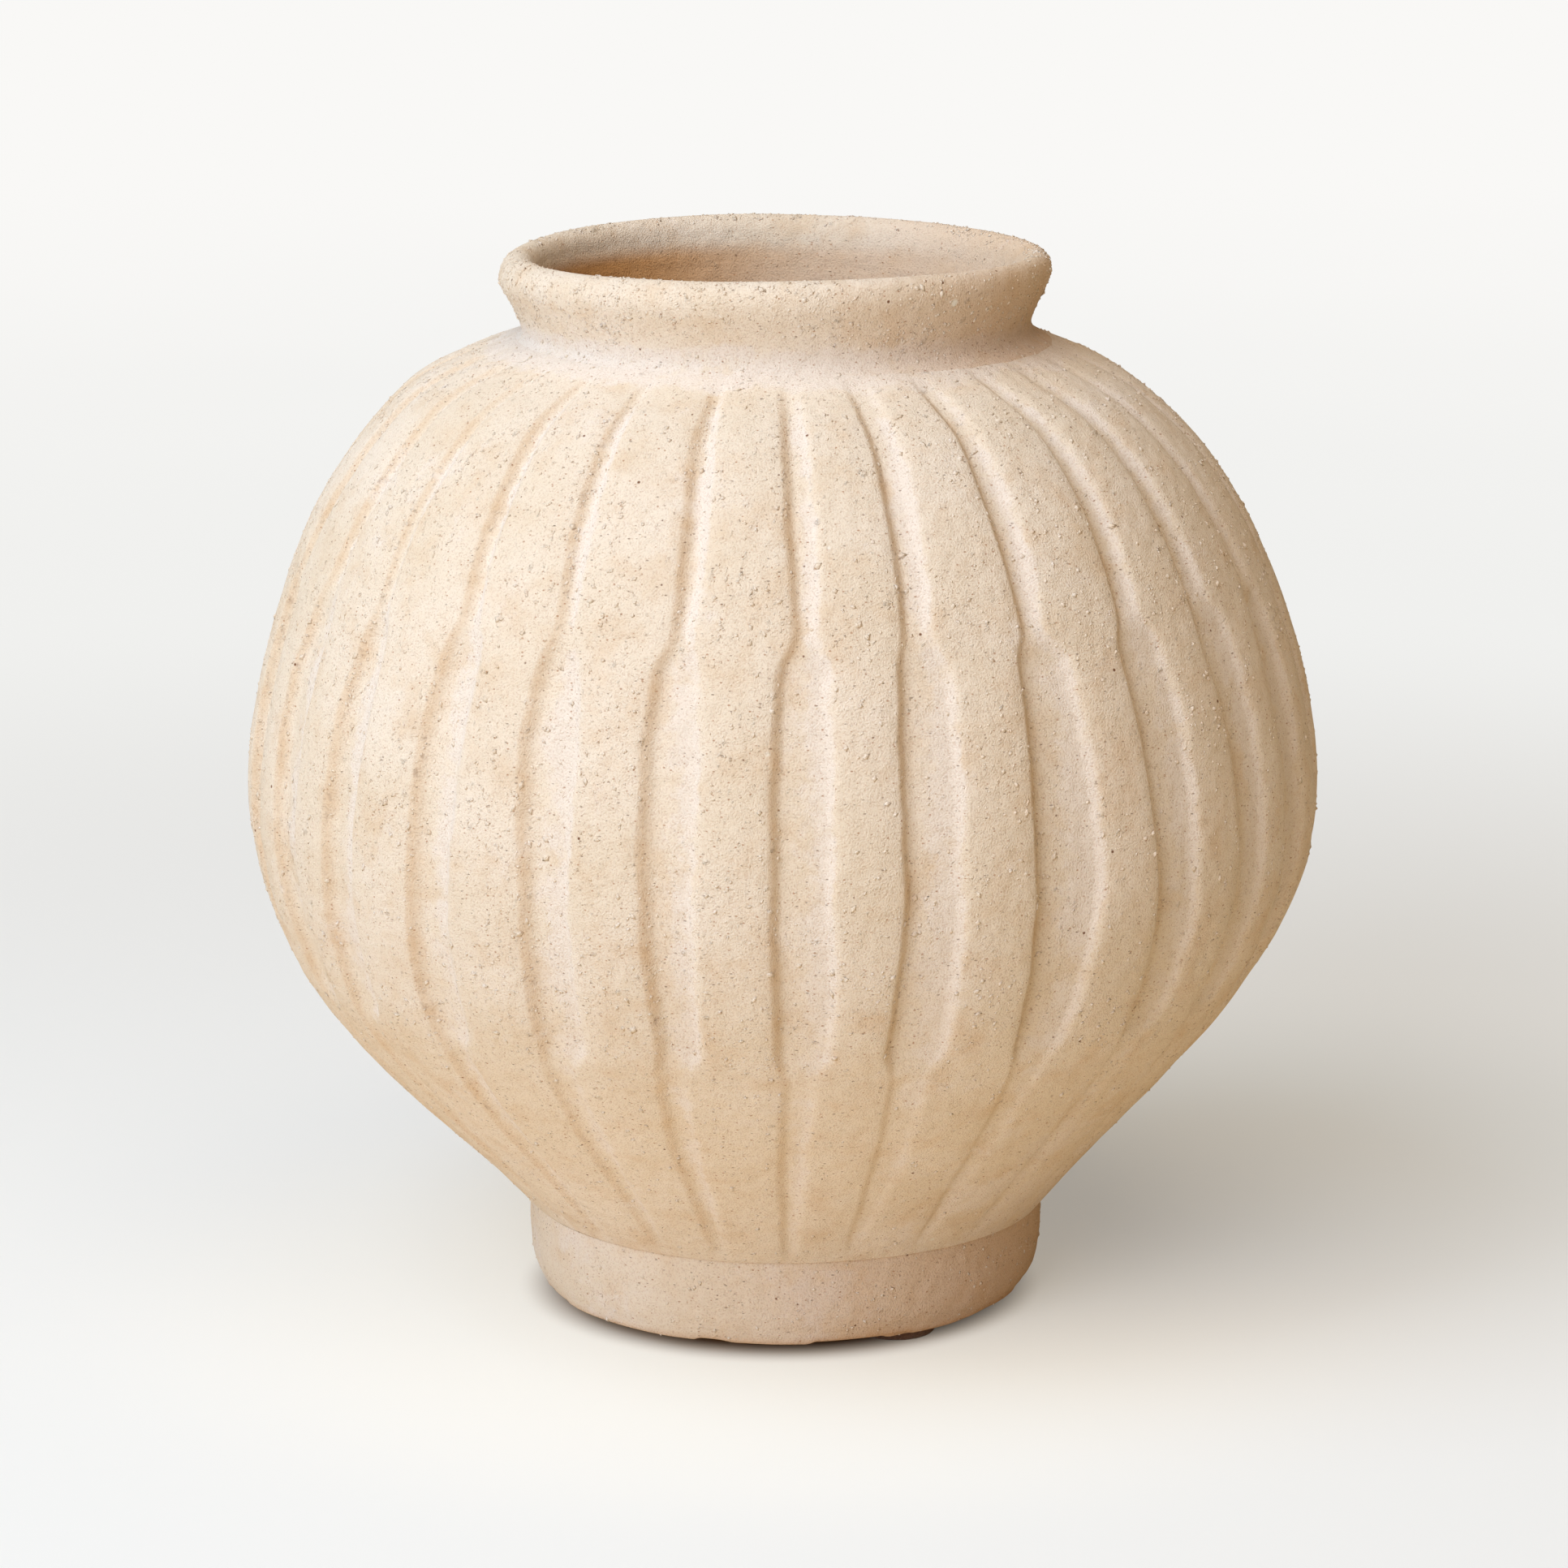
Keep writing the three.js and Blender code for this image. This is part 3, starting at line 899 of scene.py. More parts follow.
    def outline(self) -> tuple[np.ndarray, np.ndarray, np.ndarray]:
        """Draws the closed outline of the wall.

        Returns:
            Radius and height above the seat of its points, their normals, and the Side of each.
        """
        points, normals = [], []
        for upper in (False, True):
            fine, _ = self.flank(upper, np.linspace(0, 1, 400))
            run = np.r_[0, np.cumsum(np.hypot(*np.diff(fine, axis=0).T))]
            count = max(2, round(run[-1] / self.row_spacing))
            shares = np.interp(np.linspace(0, run[-1], count + 1), run, np.linspace(0, 1, 400))
            point, normal = self.flank(upper, shares if upper else shares[:-1])
            points.append(point)
            normals.append(normal)
        outer, outer_normals = np.vstack(points), np.vstack(normals)
        top = self.below + self.above
        inner = [(self.throat, top), (self.throat, top - self.wall / math.cos(math.radians(self.neck_angle)))]
        for upper in (True, False):
            point, normal = self.flank(upper, np.linspace(1, 0, self.inner_rows)[0 if upper else 1 :])
            inner += [tuple(p) for p in point - self.wall * normal]
        inner.append((self.seat_radius - 10.0, 0.0))
        inner = np.array(inner)
        sides = np.repeat([Side.OUTSIDE.value, Side.INSIDE.value], [len(outer), len(inner)])
        return np.vstack([outer, inner]), np.vstack([outer_normals, np.zeros_like(inner)]), sides

    def flute(self, number: int) -> Flute:
        """Finds a flute, or draws one like the others where nobody sees it from the front.

        Args:
            number: Its number, counted from the one nearest the front.

        Returns:
            The flute.
        """
        if number in FRONT_FLUTES:
            return FRONT_FLUTES[number]
        middle = self.first_flute + FULL_TURN / self.flutes * number
        shift = np.random.default_rng(number + 40).uniform(-0.5, 0.5, (2, len(EDGE_HEIGHTS)))
        smooth = (shift + np.roll(shift, 1, 1) + np.roll(shift, -1, 1)) / 2
        left = tuple(middle + np.array(USUAL_LEFT) + smooth[0])
        right = tuple(middle + np.array(USUAL_RIGHT) + smooth[1])
        return Flute(left, right, tuple(np.random.default_rng(number + 90).uniform(0.7, 1.1, 3)))

    def edges(self, height: float) -> tuple[np.ndarray, np.ndarray, np.ndarray]:
        """Reads all flutes at a height.

        Args:
            height: The height above the table.

        Returns:
            Left edge, right edge and strength of every flute, in order round the belly.
        """
        near = height + self.rounding * np.array([-1, 0, 1])
        left, right, strength = [], [], []
        half = self.flutes // 2
        for number in range(-half, self.flutes - half):
            flute = self.flute(number)
            place = np.array([[97.0 * number, 0.0, height], [97.0 * number, 50.0, height]])
            stray = self.stray * waver(place, self.stray_length, 6.0) / 2.1
            left.append(np.interp(near, EDGE_HEIGHTS, flute.left).mean() + stray[0])
            right.append(np.interp(near, EDGE_HEIGHTS, flute.right).mean() + stray[1])
            strength.append(np.interp(height, self.tier_heights, np.take(flute.depth, (0, 1, 1, 2))))
        return np.array(left), np.array(right), np.array(strength)

    def row(self, height: float, radius: float) -> tuple[np.ndarray, np.ndarray, np.ndarray, np.ndarray]:
        """The azimuth, cut, slip and torn clay of each column of a row of the outside.

        Args:
            height: The row's height above the table.
            radius: Its radius.

        Returns:
            For each column its azimuth, how deep the clay is cut away, how much slip lies there and how
            much the gouge tore the clay. That last value also marks the flute's left wall for painted shade.
        """
        left, right, strength = self.edges(height)
        width = np.radians(right - left) * radius
        span = np.minimum(1.0, width / self.full_width)
        degrees = np.degrees(1 / radius)
        scoop = np.interp(left, self.scoop_azimuths, self.scoops)
        stops = np.c_[
            left - self.left_side * span * degrees,
            left + scoop * span * degrees,
            right - self.right_side[0] * span * degrees,
            right + self.right_side[1] * span * degrees,
        ].ravel()
        starts = np.r_[0, np.cumsum(self.columns)]
        columns = starts[-1]
        knots = (np.arange(self.flutes)[:, None] * columns + starts[:-1]).ravel()
        total = self.flutes * columns
        azimuth = np.interp(np.arange(total), np.r_[knots, total], np.r_[stops, stops[0] + FULL_TURN])
        flute = np.arange(total) // columns
        along = np.radians(azimuth - left[flute]) * radius / span[flute]
        wide = width[flute] / span[flute]
        rise = ease((along + self.left_side) / (scoop[flute] + self.left_side), 0.0, 1.0)
        fall = 1 - ease(along - wide, -self.right_side[0], self.right_side[1])
        tilt = 1 - self.floor_tilt * np.clip((along - 1.5) / np.maximum(wide - 1.5, 1.0), 0, 1)
        usual = np.interp(height, self.depth_heights, self.depths)
        cut = usual * strength[flute] * rise * fall * tilt
        past = np.arange(total) % columns - starts[3]
        crown = np.clip(past / self.columns[3], 0, 1)
        cut -= self.ridge_crown * np.minimum(usual / 2.8, 1) * 4 * crown * (1 - crown)
        carved = np.minimum(1, usual * strength[flute] / 1.8)
        slip = carved * ease(along, 0.8, 2.4) * ease(along / wide, 0.1, 0.8)
        slip *= 1 - ease(along - wide, -1.8, 0.8)
        # The gouge tore the clay on the flute's left wall. The same value also paints shade on that wall.
        torn_and_wall_shade = carved * ease(along, -0.9, 0.2) * (1 - ease(along, 0.8, 2.4))
        return azimuth, cut, slip, torn_and_wall_shade

    def build(self, finish: Material) -> Object:
        """Turns, carves and settles the belly.

        Args:
            finish: The clay's material.

        Returns:
            The belly.
        """
        profile, normals, sides = self.outline()
        total = self.flutes * sum(self.columns)
        bm = turned([(r, h + self.seat) for r, h in profile], total)
        rows, azimuth, _, _ = self.read(bm)
        column = np.rint(azimuth / (FULL_TURN / total)).astype(int) % total
        carved = np.zeros((4, len(profile), total))
        half = self.flutes // 2
        offset = half * sum(self.columns)
        for index, (radius, height) in enumerate(profile):
            if sides[index] == Side.OUTSIDE.value:
                carved[:, index] = np.roll(self.row(height + self.seat, radius), -offset, axis=1)
            else:
                carved[0, index] = self.first_flute + np.arange(total) * FULL_TURN / total
        turn, cut, slip, torn_and_wall_shade = carved[:, rows, column]
        radius = profile[rows, 0]
        height = profile[rows, 1] + self.seat
        outside = sides[rows] == Side.OUTSIDE.value
        plain = around(turn, radius, height)
        edge = ease(height, self.seat, self.seat + 6) * (1 - ease(height, NECK_SEAT - 5, NECK_SEAT))
        grow = self.slow_waver[0] * waver(plain, self.slow_waver[1], 3.0)
        grow += self.quick_waver[0] * waver(plain, self.quick_waver[1], 11.0)
        for at, up, spread, thick in self.lumps:
            grow += thick * hump(turn, height, (at, up), (spread, 1.3))
        grow = edge * grow - cut - self.neck_drop * ease(height, 228.0, NECK_SEAT)
        grow += lean(turn, height, self.lean_heights, self.lean_left, self.lean_right)
        shift = np.where(outside, grow, 0.0)
        place = around(turn, radius + normals[rows, 0] * shift, height + normals[rows, 1] * shift)
        ragged = height + 1.3 * waver(plain, 7.0, 21.0)
        band = ease(ragged, *self.smear)
        low = 1 - ease(height, 45.0, 95.0)
        # Painted light: patches in the slip's pale colour on the right of the lowest tier, standing for light
        # thrown up from the floor.
        painted_bounce = 0.8 * low * ease(np.sin(np.radians(turn)), 0.1, 0.7)
        painted_bounce *= ease(waver(plain, 14.0, 33.0), -0.5, 0.3)
        masks = {
            "slip": np.where(outside, np.maximum(np.maximum(slip, painted_bounce), band), 0.0),
            "drag": np.where(outside, low, 1.0),
            "torn_and_wall_shade": torn_and_wall_shade * (1 - band),
            "raw_and_shade": np.where(outside, 0.0, UNWIPED_AND_SHADE),
        }
        self.shape(bm, place, masks)
        return self.settle(bm, finish)


@dataclass
class RolledCollar(Piece):
    """The flared neck, luted on the shoulder, with its lip rolled outward."""

    name: str = "rolled_collar"
    node: str = "collar"
    slot: str = "buff_clay"
    seat: float = NECK_SEAT
    sides: int = 360
    rows: int = 64
    # The wall and lip at the left, where the lip is a round roll: radius and height above the seat.
    round_lip: tuple[tuple[float, float], ...] = (
        (66.6, -2.6), (65.0, -1.4), (63.4, -0.5), (62.3, 0.6), (62.0, 2.4), (62.7, 4.8),
        (64.0, 7.4), (65.4, 10.0), (66.6, 12.2), (66.9, 14.8), (65.7, 17.8), (63.0, 19.7),
        (60.2, 19.4), (58.2, 17.2), (57.3, 14.0), (56.0, 9.0), (54.5, 4.0), (54.0, 0.0),
    )
    # The same at the right, where the lip has a tighter edge and its top falls inward.
    sharp_lip: tuple[tuple[float, float], ...] = (
        (66.8, -2.6), (65.2, -1.5), (63.8, -0.6), (62.7, 0.5), (62.4, 2.6), (63.0, 5.2),
        (64.2, 8.0), (65.6, 11.0), (66.9, 14.0), (67.3, 16.6), (66.3, 19.2), (63.9, 20.2),
        (61.4, 19.2), (59.3, 17.2), (57.8, 14.4), (56.0, 9.4), (54.5, 4.0), (54.0, 0.0),
    )
    # The neck stands this far to the left of the belly's middle.
    drift: float = 1.35
    # Height of the rim above the seat.
    height: float = 20.4
    # The rim rises and falls: by how much, where it is highest, and how often in a turn.
    wave: float = 0.8
    wave_azimuth: float = 15.0
    wave_lobes: int = 2
    # Shares of the rows up to which the outside goes, and between which the inside starts.
    outside_share: float = 0.62
    inside_shares: tuple[float, float] = (0.68, 0.78)

    def build(self, finish: Material) -> Object:
        """Turns the collar and makes it as uneven as a hand leaves it.

        Args:
            finish: The clay's material.

        Returns:
            The collar.
        """
        left = smooth_path(list(self.round_lip), self.rows)
        right = smooth_path(list(self.sharp_lip), self.rows)
        bm = turned([tuple(p) for p in left], self.sides)
        rows, azimuth, _, _ = self.read(bm)
        angle = np.radians(azimuth)
        share = ease(np.sin(angle), -0.9, 0.9)
        radius = left[rows, 0] * (1 - share) + right[rows, 0] * share
        height = left[rows, 1] * (1 - share) + right[rows, 1] * share
        climb = np.clip(height / self.height, 0, 1.1)
        lift = self.wave * np.cos(self.wave_lobes * (angle - math.radians(self.wave_azimuth)))
        plain = around(azimuth, radius, height)
        free = ease(height, 0.0, 5.0)
        uneven = free * (0.35 * waver(plain, 22.0, 5.0) + 0.14 * waver(plain, 6.0, 9.0))
        height = height + lift * climb**2 + free * 0.3 * waver(plain, 26.0, 14.0)
        place = around(azimuth, radius + uneven, height + self.seat)
        place[:, 0] -= self.drift * ease(height, -1.5, 3.0)
        outside = rows < self.rows * self.outside_share
        ragged = height + 1.5 * waver(plain, 8.0, 31.0)
        slip = np.where(outside, 0.85 - 0.85 * ease(ragged, 2.6, 6.0), 0.0)
        inside = ease(rows, *(self.rows * share for share in self.inside_shares))
        # Painted shade: the bare brown is strongest at the left inside the collar, where shade falls, and
        # some lies outside at the right, the shaded side.
        raw_and_shade = inside * (1.0 - 0.6 * ease(np.sin(angle), -0.8, 0.25))
        raw_and_shade += 0.3 * (1 - inside) * ease(np.sin(angle), 0.1, 0.9)
        masks = {"slip": slip, "drag": 0.25 + 0.35 * inside, "torn_and_wall_shade": np.zeros(len(slip)), "raw_and_shade": raw_and_shade}
        self.shape(bm, place, masks)
        return self.settle(bm, finish)


@dataclass
class StandingGrog(Piece):
    """Crumbs of grog and clay that stand on a section, where the gouge and the sponge left them.

    Each is a small lump, half sunk in the wall, so that it catches the light as the real ones do. Real
    crumbs go down to 0.2 mm, too fine to show, so these are about 0.7 mm long.
    """

    name: str = "standing_grog"
    node: str = ""
    slot: str = "buff_clay"
    # The number of crumbs is two to this power.
    doublings: int = 14
    seed: int = 5
    # Usual and largest radius, and how unlike each other the radii are.
    size: float = 0.28
    largest: float = 0.8
    unlike: float = 0.42
    # A crumb's smallest and largest length, breadth and height, as shares of its radius.
    lengths: tuple[float, float] = (0.9, 1.7)
    breadths: tuple[float, float] = (0.7, 1.1)
    heights: tuple[float, float] = (0.35, 0.7)
    # How far the corners of a crumb lie from its middle, as shares of those of an even one.
    corners: tuple[float, float] = (0.75, 1.25)
    # How far a crumb's middle stands out of the wall, as a share of its height.
    standing: float = 0.1
    # How far a crumb lies from the middle of the face that it stands on.
    spread: float = 0.7
    # Painted light: pale slip colour on every crumb makes up for its own shaded side.
    painted_crumb_light: float = 0.3
    # Clean, trimmed clay below the first height, coarse clay above the second.
    trimmed: tuple[float, float] = (78.0, 98.0)
    trimmed_share: float = 0.3
    # The share of the crumbs that slip hides.
    hidden: float = 0.75

    def crumbs(self) -> tuple[BMesh, np.ndarray]:
        """Makes the crumbs, all at the origin and of radius one.

        Returns:
            The mesh, and the number of the crumb that each point is on.
        """
        bm = bmesh.new()
        layer = bm.verts.layers.int.new("crumb")
        bmesh.ops.create_uvsphere(bm, u_segments=4, v_segments=2, radius=1.0)
        for doubling in range(self.doublings):
            copy = bmesh.ops.duplicate(bm, geom=bm.verts[:] + bm.edges[:] + bm.faces[:])["geom"]
            for item in copy:
                if isinstance(item, BMVert):
                    item[layer] += 2**doubling
        return bm, np.array([vert[layer] for vert in bm.verts])

    def scatter(self, wall: Mesh, draw: np.random.Generator) -> tuple[np.ndarray, np.ndarray]:
        """Draws places for the crumbs.

        Args:
            wall: The section that they stand on, all of whose faces have four corners.
            draw: The source of chance.

        Returns:
            A place in millimetres and an outward normal for each crumb.
        """
        points, slip = np.empty(len(wall.vertices) * 3), np.empty(len(wall.vertices))
        wall.vertices.foreach_get("co", points)
        wall.attributes["slip"].data.foreach_get("value", slip)
        points = points.reshape(-1, 3) / METRES
        # The faces come in another order in each run and the points don't. The faces are sorted by their
        # points, and nothing hangs on the corner that a face starts with, so each run draws the same.
        faces = np.array([face.vertices[:] for face in wall.polygons])
        faces = faces[np.lexsort(np.sort(faces, axis=1).T)]
        sorted_corners = np.sort(faces, axis=1)
        place = points[sorted_corners].mean(axis=1)
        first, second, third, fourth = points[faces.T]
        normal = np.cross(third - first, fourth - second)
        area = np.linalg.norm(normal, axis=1)
        normal /= area[:, None]
        outward = (normal[:, :2] * place[:, :2]).sum(1) / np.hypot(place[:, 0], place[:, 1])
        shown = ease(outward + 0.6 * normal[:, 2], -0.35, 0.1)
        coarse = self.trimmed_share + (1 - self.trimmed_share) * ease(place[:, 2], *self.trimmed)
        drift = ease(waver(place, 17.0, 41.0), -0.45, 0.35) + 0.12
        share = area * shown * coarse * drift * (1 - self.hidden * slip[sorted_corners[:, 0]])
        chosen = draw.choice(len(faces), 2**self.doublings, p=share / share.sum())
        spread = draw.uniform(-self.spread, self.spread, (len(chosen), 3))
        spread -= (spread * normal[chosen]).sum(1)[:, None] * normal[chosen]
        return place[chosen] + spread, normal[chosen]

    def build(self, finish: Material, wall: Mesh) -> Object:
        """Strews the crumbs on a section.

        Args:
            finish: The clay's material.
            wall: The mesh of the section.

        Returns:
            The crumbs, as one object.
        """
        draw = np.random.default_rng(self.seed)
        bm, number = self.crumbs()
        place, normal = self.scatter(wall, draw)
        total = len(place)
        level = np.cross(normal, draw.normal(size=(total, 3)))
        level /= np.linalg.norm(level, axis=1)[:, None]
        across = np.cross(normal, level)
        size = np.minimum(self.size * np.exp(self.unlike * draw.normal(size=total)), self.largest)
        long = (size * draw.uniform(*self.lengths, total))[:, None] * level
        broad = (size * draw.uniform(*self.breadths, total))[:, None] * across
        tall = (size * draw.uniform(*self.heights, total))[:, None] * normal
        unit = np.array([vert.co for vert in bm.verts]) * draw.uniform(*self.corners, (len(bm.verts), 1))
        lump = unit[:, :1] * long[number] + unit[:, 1:2] * broad[number]
        lump += (unit[:, 2:] + self.standing) * tall[number]
        blank = np.zeros(len(unit))
        masks = {"slip": blank + self.painted_crumb_light, "drag": blank, "torn_and_wall_shade": blank, "raw_and_shade": blank}
        self.shape(bm, place[number] + lump, masks)
        return self.settle(bm, finish, 180.0)


@dataclass
class PlainFoot(Piece):
    """The low foot: a plain band, trimmed on the wheel and rounded where it stood on the bat."""

    name: str = "plain_foot"
    node: str = "foot_ring"
    slot: str = "buff_clay"
    bottom: float = FOOT_BOTTOM
    top: float = FOOT_SEAT
    radius: float = 64.2
    taper: float = 0.5
    arris: float = 1.5
    # How far the wall draws in at the bottom, and the height up to which it does.
    tuck: float = 2.0
    tuck_height: float = 9.0
    wall_rows: int = 24
    edge_rows: int = 9
    rebate: float = 56.8
    ledge: float = 52.8
    ledge_height: float = 9.05
    lean_heights: tuple[float, ...] = (3, 8, 16, 25)
    lean_left: tuple[float, ...] = (-2.4, -1.7, -1.3, -1.3)
    lean_right: tuple[float, ...] = (-0.4, 0.7, 1.3, 1.3)
    sides: int = 360

    def build(self, finish: Material) -> Object:
        """Turns the foot, with its wavy lower edge.

        Args:
            finish: The clay's material.

        Returns:
            The foot.
        """
        tall = self.top - self.bottom
        wall = []
        for height in self.arris + (tall - self.arris) * np.linspace(0, 1, self.wall_rows):
            tucked = self.tuck * max(0.0, 1 - height / self.tuck_height) ** 2
            wall.append((self.radius - self.taper + self.taper * height / tall - tucked, height))
        edge = []
        for angle in np.linspace(-90, 0, self.edge_rows):
            out, up = math.cos(math.radians(angle)), math.sin(math.radians(angle))
            edge.append((wall[0][0] - self.arris + self.arris * out, self.arris + self.arris * up))
        inside = [(self.ledge, tall), (self.ledge, self.ledge_height), (self.rebate, self.ledge_height)]
        bm = turned([*edge, *wall[1:], *inside, (self.rebate, 0.0)], self.sides)
        rows, azimuth, radius, height = self.read(bm)
        outside = rows < len(edge) + len(wall) - 1
        plain = around(azimuth, radius, height)
        free = np.where(outside, 1 - ease(height, tall - 4, tall), 0.0)
        uneven = free * (0.3 * waver(plain, 20.0, 7.0) + 0.15 * waver(plain, 5.0, 13.0))
        above = height + self.bottom
        uneven += outside * lean(azimuth, above, self.lean_heights, self.lean_left, self.lean_right)
        low = (1 - ease(height, 0.0, 7.0)) * np.where(outside, 1.0, 0.0)
        rim = around(azimuth, radius, 0 * height)
        chips = ease(waver(rim, 9.0, 27.0), 0.2, 0.34)
        lift = low * (0.3 + 0.4 * waver(rim, 17.0, 19.0) + 0.55 * chips)
        place = around(azimuth, radius + uneven, height + self.bottom + np.maximum(lift, 0))
        side = np.sin(np.radians(azimuth))
        # Slip smears in patches, with more of them towards the lit left: partly real slip, partly painted
        # light.
        slip = np.where(outside, 0.45 * ease(waver(plain, 16.0, 3.0) - 0.4 * side, -0.3, 0.5), 0.0)
        # Painted shade: the foot turns browner towards its shaded right. It is also browner along its rounded
        # lower edge.
        tan_and_shade = 0.04 + 0.36 * ease(side, -0.6, 0.9) + 0.3 * (1 - ease(height, 0.4, 2.6))
        masks = {
            "slip": slip,
            "drag": np.where(outside, 1.0, 0.5),
            "torn_and_wall_shade": np.zeros(len(slip)),
            "raw_and_shade": np.where(outside, tan_and_shade, UNWIPED_AND_SHADE),
        }
        self.shape(bm, place, masks)
        return self.settle(bm, finish)


@dataclass
class FloorSlab(Piece):
    """The floor let into the foot, wiped flat below and left with finger rings above."""

    name: str = "floor_slab"
    node: str = "base_slab"
    slot: str = "buff_clay"
    bottom: float = FOOT_BOTTOM
    radius: float = 56.5
    thickness: float = 9.0
    bevel: float = 1.0
    # How far the middle of the underside is hollowed.
    hollow: float = 0.25
    rings: int = 5
    ring_height: float = 0.5
    sides: int = 180

    def build(self, finish: Material) -> Object:
        """Turns the slab.

        Args:
            finish: The clay's material.

        Returns:
            The slab.
        """
        across = np.linspace(0, self.radius - self.bevel, 36)
        below = [(r, self.hollow * (1 - (r / self.radius) ** 2)) for r in across]
        rim = [
            (self.radius - 0.3, 0.3),
            (self.radius, self.bevel),
            (self.radius, self.thickness - self.bevel),
            (self.radius - self.bevel, self.thickness),
        ]
        rings = []
        for r in across[::-1]:
            swing = math.cos(2 * math.pi * self.rings * r / self.radius)
            rings.append((r, self.thickness - self.ring_height + self.ring_height * swing))
        bm = turned([*below, *rim, *rings[1:]], self.sides, closed=False)
        _, azimuth, radius, height = self.read(bm)
        plain = around(azimuth, radius, height)
        inner = 1 - ease(radius, self.radius - 8, self.radius - 2)
        lift = inner * 0.18 * (waver(plain, 12.0, 2.0) + 0.6)
        place = around(azimuth, radius, height + self.bottom + np.where(height > 4, -lift, lift))
        blank = np.zeros(len(radius))
        self.shape(bm, place, {"slip": blank, "drag": blank + 0.4, "torn_and_wall_shade": blank, "raw_and_shade": blank + UNWIPED_AND_SHADE})
        return self.settle(bm, finish)


@dataclass
class StickOnPad(Piece):
    """A disc of a stick-on pad: the felt, or the adhesive that holds it."""

    name: str = "felt_disc"
    node: str = "felt_pad"
    slot: str = "brown_felt"
    number: int = 1
    bottom: float = 0.0
    top: float = PAD_TOP
    radius: float = 10.0
    rounding: float = 0.7
    fuzz: float = 0.12
    ring_radius: float = 48.0
    first_azimuth: float = 36.0
    count: int = 3
    sides: int = 96

    def build(self, finish: Material) -> Object:
        """Turns the disc, roughens its rim and moves it to its place under the foot.

        Args:
            finish: The felt or the adhesive.

        Returns:
            The disc.
        """
        tall = self.top - self.bottom
        corner = min(self.rounding, tall / 2)
        rim = []
        for angle in np.linspace(-90, 90, 11):
            out, up = math.cos(math.radians(angle)), math.sin(math.radians(angle))
            centre = corner if angle < 0 else tall - corner
            rim.append((self.radius - corner + corner * out, centre + corner * up))
        flat = [share * (self.radius - corner) for share in (0, 0.3, 0.6, 0.85)]
        below, above = [(r, 0.0) for r in flat], [(r, tall) for r in flat[::-1]]
        bm = turned([*below, *rim, *above], self.sides, closed=False)
        _, azimuth, radius, height = self.read(bm)
        plain = around(azimuth, radius, height)
        near = ease(radius, self.radius * 0.7, self.radius)
        ragged = near * self.fuzz * (waver(plain, 1.1, 4.0 + self.number) - 0.5)
        centre = self.first_azimuth + FULL_TURN / self.count * (self.number - 1)
        home = around(np.array([centre]), np.array([self.ring_radius]), np.array([self.bottom]))
        self.shape(bm, around(azimuth, radius + ragged, height) + home, {})
        return self.settle(bm, finish)


@dataclass
class Vase:
    """The whole vase, from the table up."""

    clay: CoarseClay = field(default_factory=lambda: CoarseClay("unglazed_buff_terracotta"))
    felt: NeedledFelt = field(default_factory=lambda: NeedledFelt("needled_wool_felt"))
    glue: PressureAdhesive = field(default_factory=lambda: PressureAdhesive("pressure_adhesive"))
    pads: int = 3

    def build(self) -> list[Object]:
        """Builds and dresses every piece.

        Returns:
            The pieces.
        """
        clay, felt, glue = self.clay.build(), self.felt.build(), self.glue.build()
        foot, floor = PlainFoot().build(clay), FloorSlab().build(clay)
        belly, collar = FlutedBelly().build(clay), RolledCollar().build(clay)
        made = [
            foot,
            floor,
            belly,
            collar,
            StandingGrog("belly_grog").build(clay, belly.data),
            StandingGrog("collar_grog", doublings=12, seed=9, size=0.26).build(clay, collar.data),
            StandingGrog("foot_grog", doublings=10, seed=3, size=0.26).build(clay, foot.data),
        ]
        for number in range(1, self.pads + 1):
            pad = StickOnPad(name=f"felt_disc_{number}", node=f"felt_pad_{number}", number=number)
            film = StickOnPad(
                name=f"glue_disc_{number}",
                node=f"pad_adhesive_{number}",
                slot="pad_adhesive",
                number=number,
                bottom=PAD_TOP,
                top=FOOT_BOTTOM,
                fuzz=0.05,
            )
            made += [pad.build(felt), film.build(glue)]
        return made


@dataclass(frozen=True)
class SoftBox:
    """A square soft box that faces the vase. Its lengths are metres and its power is watts."""

    name: str
    azimuth: float
    elevation: float
    side: float
    power: float
    colour: str
    distance: float = 2.0
    aim_height: float = 0.13

    def hang(self) -> None:
        """Hangs the soft box in its place."""
        data = bpy.data.lights.new(self.name, "AREA")
        data.shape, data.size, data.energy = "SQUARE", self.side, self.power
        data.color = linear(self.colour)[:3]
        lamp = bpy.data.objects.new(self.name, data)
        turn, rise = math.radians(self.azimuth), math.radians(self.elevation)
        away = Vector((math.sin(turn) * math.cos(rise), -math.cos(turn) * math.cos(rise), math.sin(rise)))
        lamp.location = Vector((0, 0, self.aim_height)) + away * self.distance
        lamp.rotation_euler = away.to_track_quat("Z", "Y").to_euler()
        bpy.context.scene.collection.objects.link(lamp)


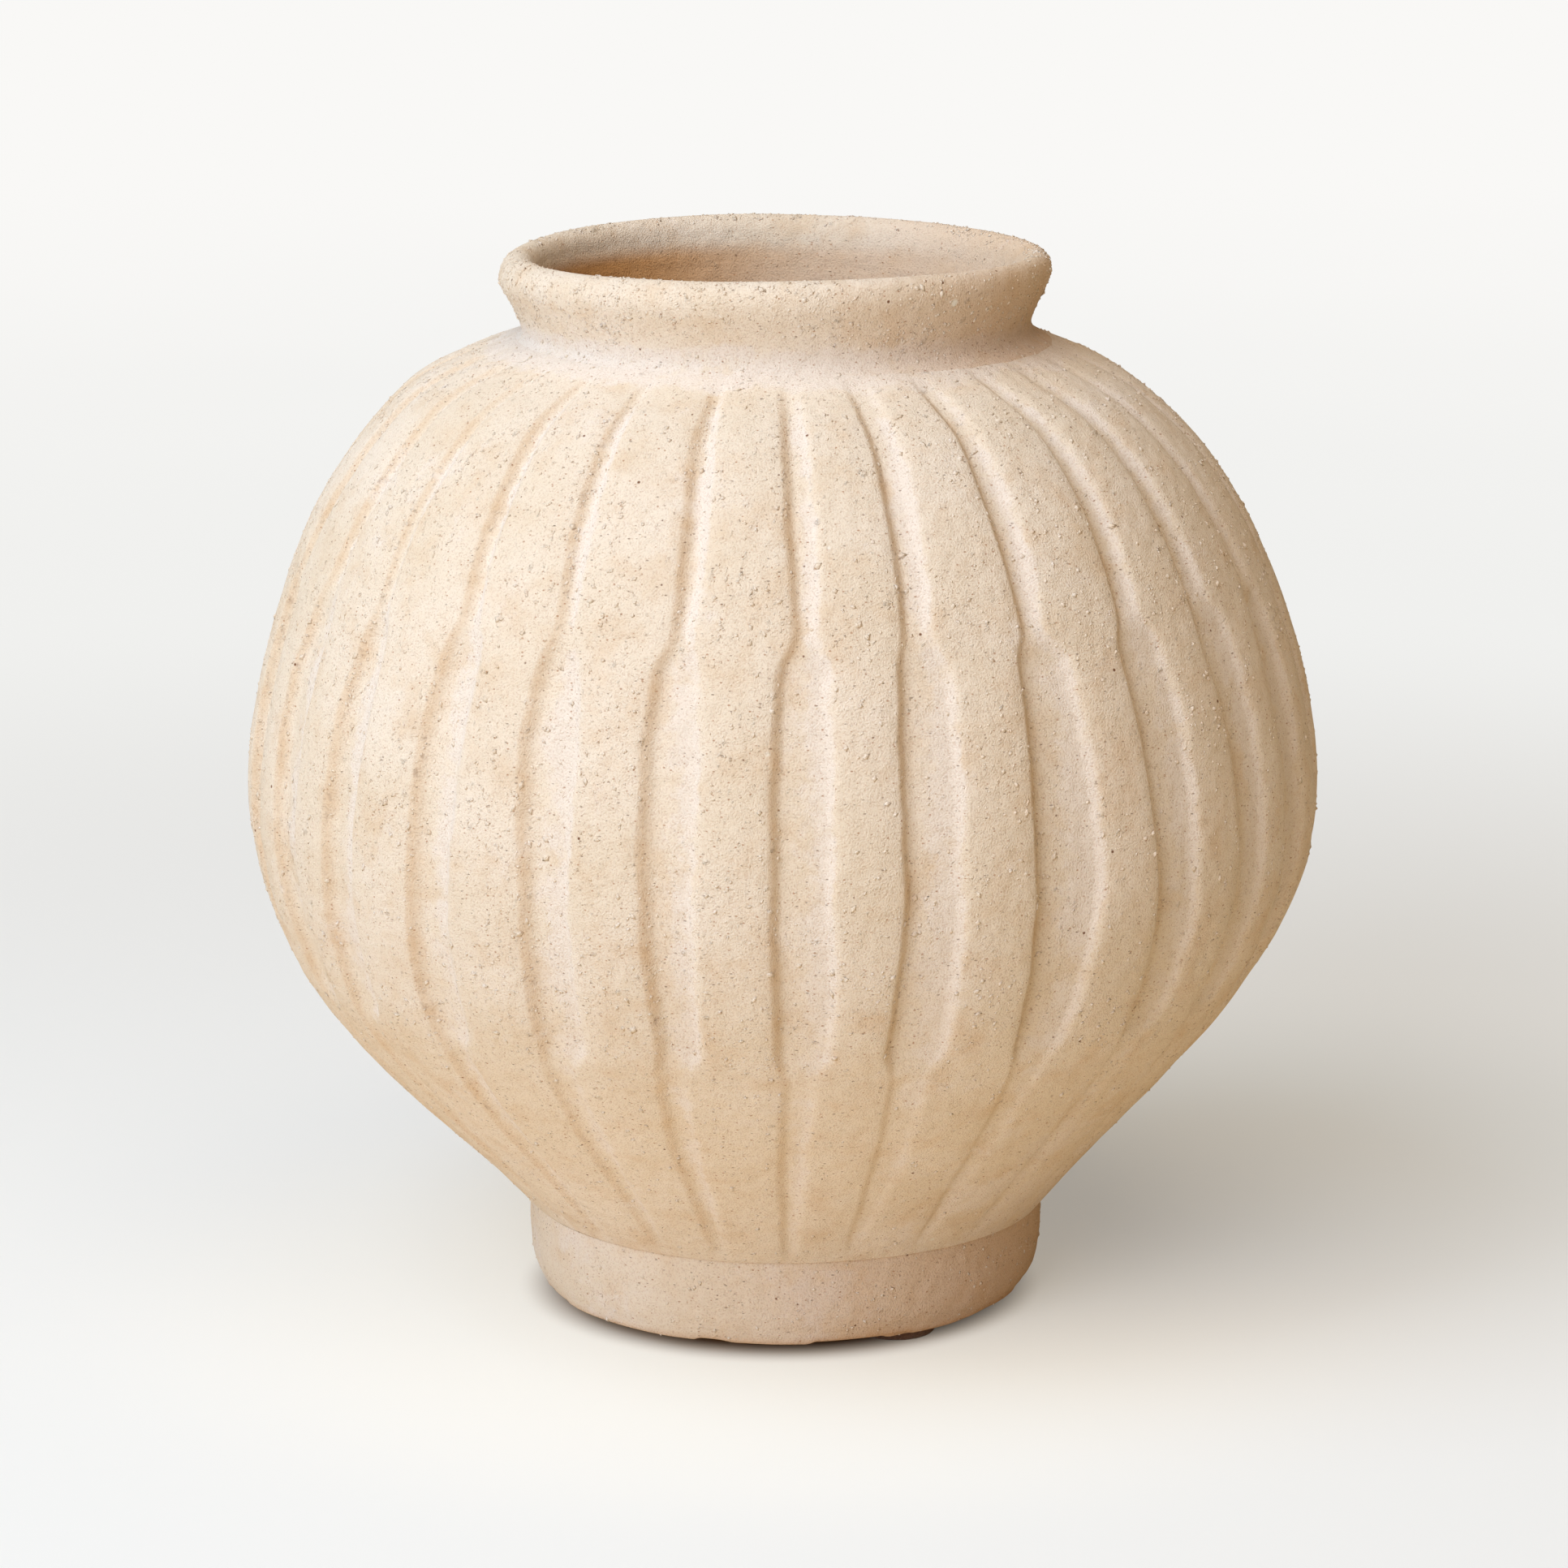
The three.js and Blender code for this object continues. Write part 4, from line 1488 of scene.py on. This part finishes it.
@dataclass
class Studio:
    """The pale paper floor, the soft boxes, the even light of the room and the camera, in metres."""

    floor_radius: float = 9.0
    lens: float = 128.74
    sensor: float = 36.0
    clip: tuple[float, float] = (0.05, 50.0)
    eye: tuple[float, float, float] = (0.0010, -1.356, 0.439)
    pitch: float = -12.89
    room_colour: str = "FFD8A8"
    room_light: float = 0.115
    wall_colour: str = "F7F6F4"
    boxes: tuple[SoftBox, ...] = (
        SoftBox("low_soft_box", -29, 20, 1.4, 22.8, "EAF3FF"),
        SoftBox("high_soft_box", -60, 49, 1.4, 18.5, "D4ECFF"),
        SoftBox("top_soft_box", 0, 75, 1.6, 15.0, "FFEDD4"),
        SoftBox("side_soft_box", 35, 50, 1.6, 3.0, "FFDDB4"),
    )

    def floor(self) -> None:
        """Lays the paper."""
        bm = bmesh.new()
        bmesh.ops.create_circle(bm, cap_ends=True, segments=96, radius=self.floor_radius)
        mesh = bpy.data.meshes.new("studio_paper")
        bm.to_mesh(mesh)
        bm.free()
        mesh.materials.append(StudioPaper("seamless_paper").build())
        paper = bpy.data.objects.new("studio_paper", mesh)
        bpy.context.scene.collection.objects.link(paper)

    def room(self) -> None:
        """Fills the room with even light, and shows the camera a plain pale wall."""
        world = bpy.data.worlds.new("pale_room")
        world.use_nodes = True
        add = partial(add_node, world.node_tree)
        world.node_tree.nodes.clear()
        fill = add("Background", {"Color": linear(self.room_colour), "Strength": self.room_light})
        wall = add("Background", {"Color": linear(self.wall_colour), "Strength": 1.0})
        shown = add("MixShader", {0: add("LightPath", {}, "Is Camera Ray"), 1: fill, 2: wall})
        add("OutputWorld", {"Surface": shown})
        bpy.context.scene.world = world

    def camera(self) -> None:
        """Sets the camera at the photograph's viewing angle."""
        data = bpy.data.cameras.new("view")
        data.lens, data.sensor_width = self.lens, self.sensor
        data.clip_start, data.clip_end = self.clip
        camera = bpy.data.objects.new("view", data)
        camera.location = self.eye
        camera.rotation_euler = Euler((math.radians(90 + self.pitch), 0, 0))
        bpy.context.scene.collection.objects.link(camera)
        bpy.context.scene.camera = camera

    def build(self) -> None:
        """Sets up the studio."""
        self.floor()
        for box in self.boxes:
            box.hang()
        self.room()
        self.camera()
        bpy.context.scene.view_settings.view_transform = "Standard"


def main() -> None:
    """Builds the vase and its studio; each piece notes its number of faces as it is made."""
    logging.basicConfig(level=logging.INFO, format="%(name)s: %(message)s")
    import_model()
    for piece in Vase().build():
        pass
    Studio().build()


if __name__ == "__main__":
    main()
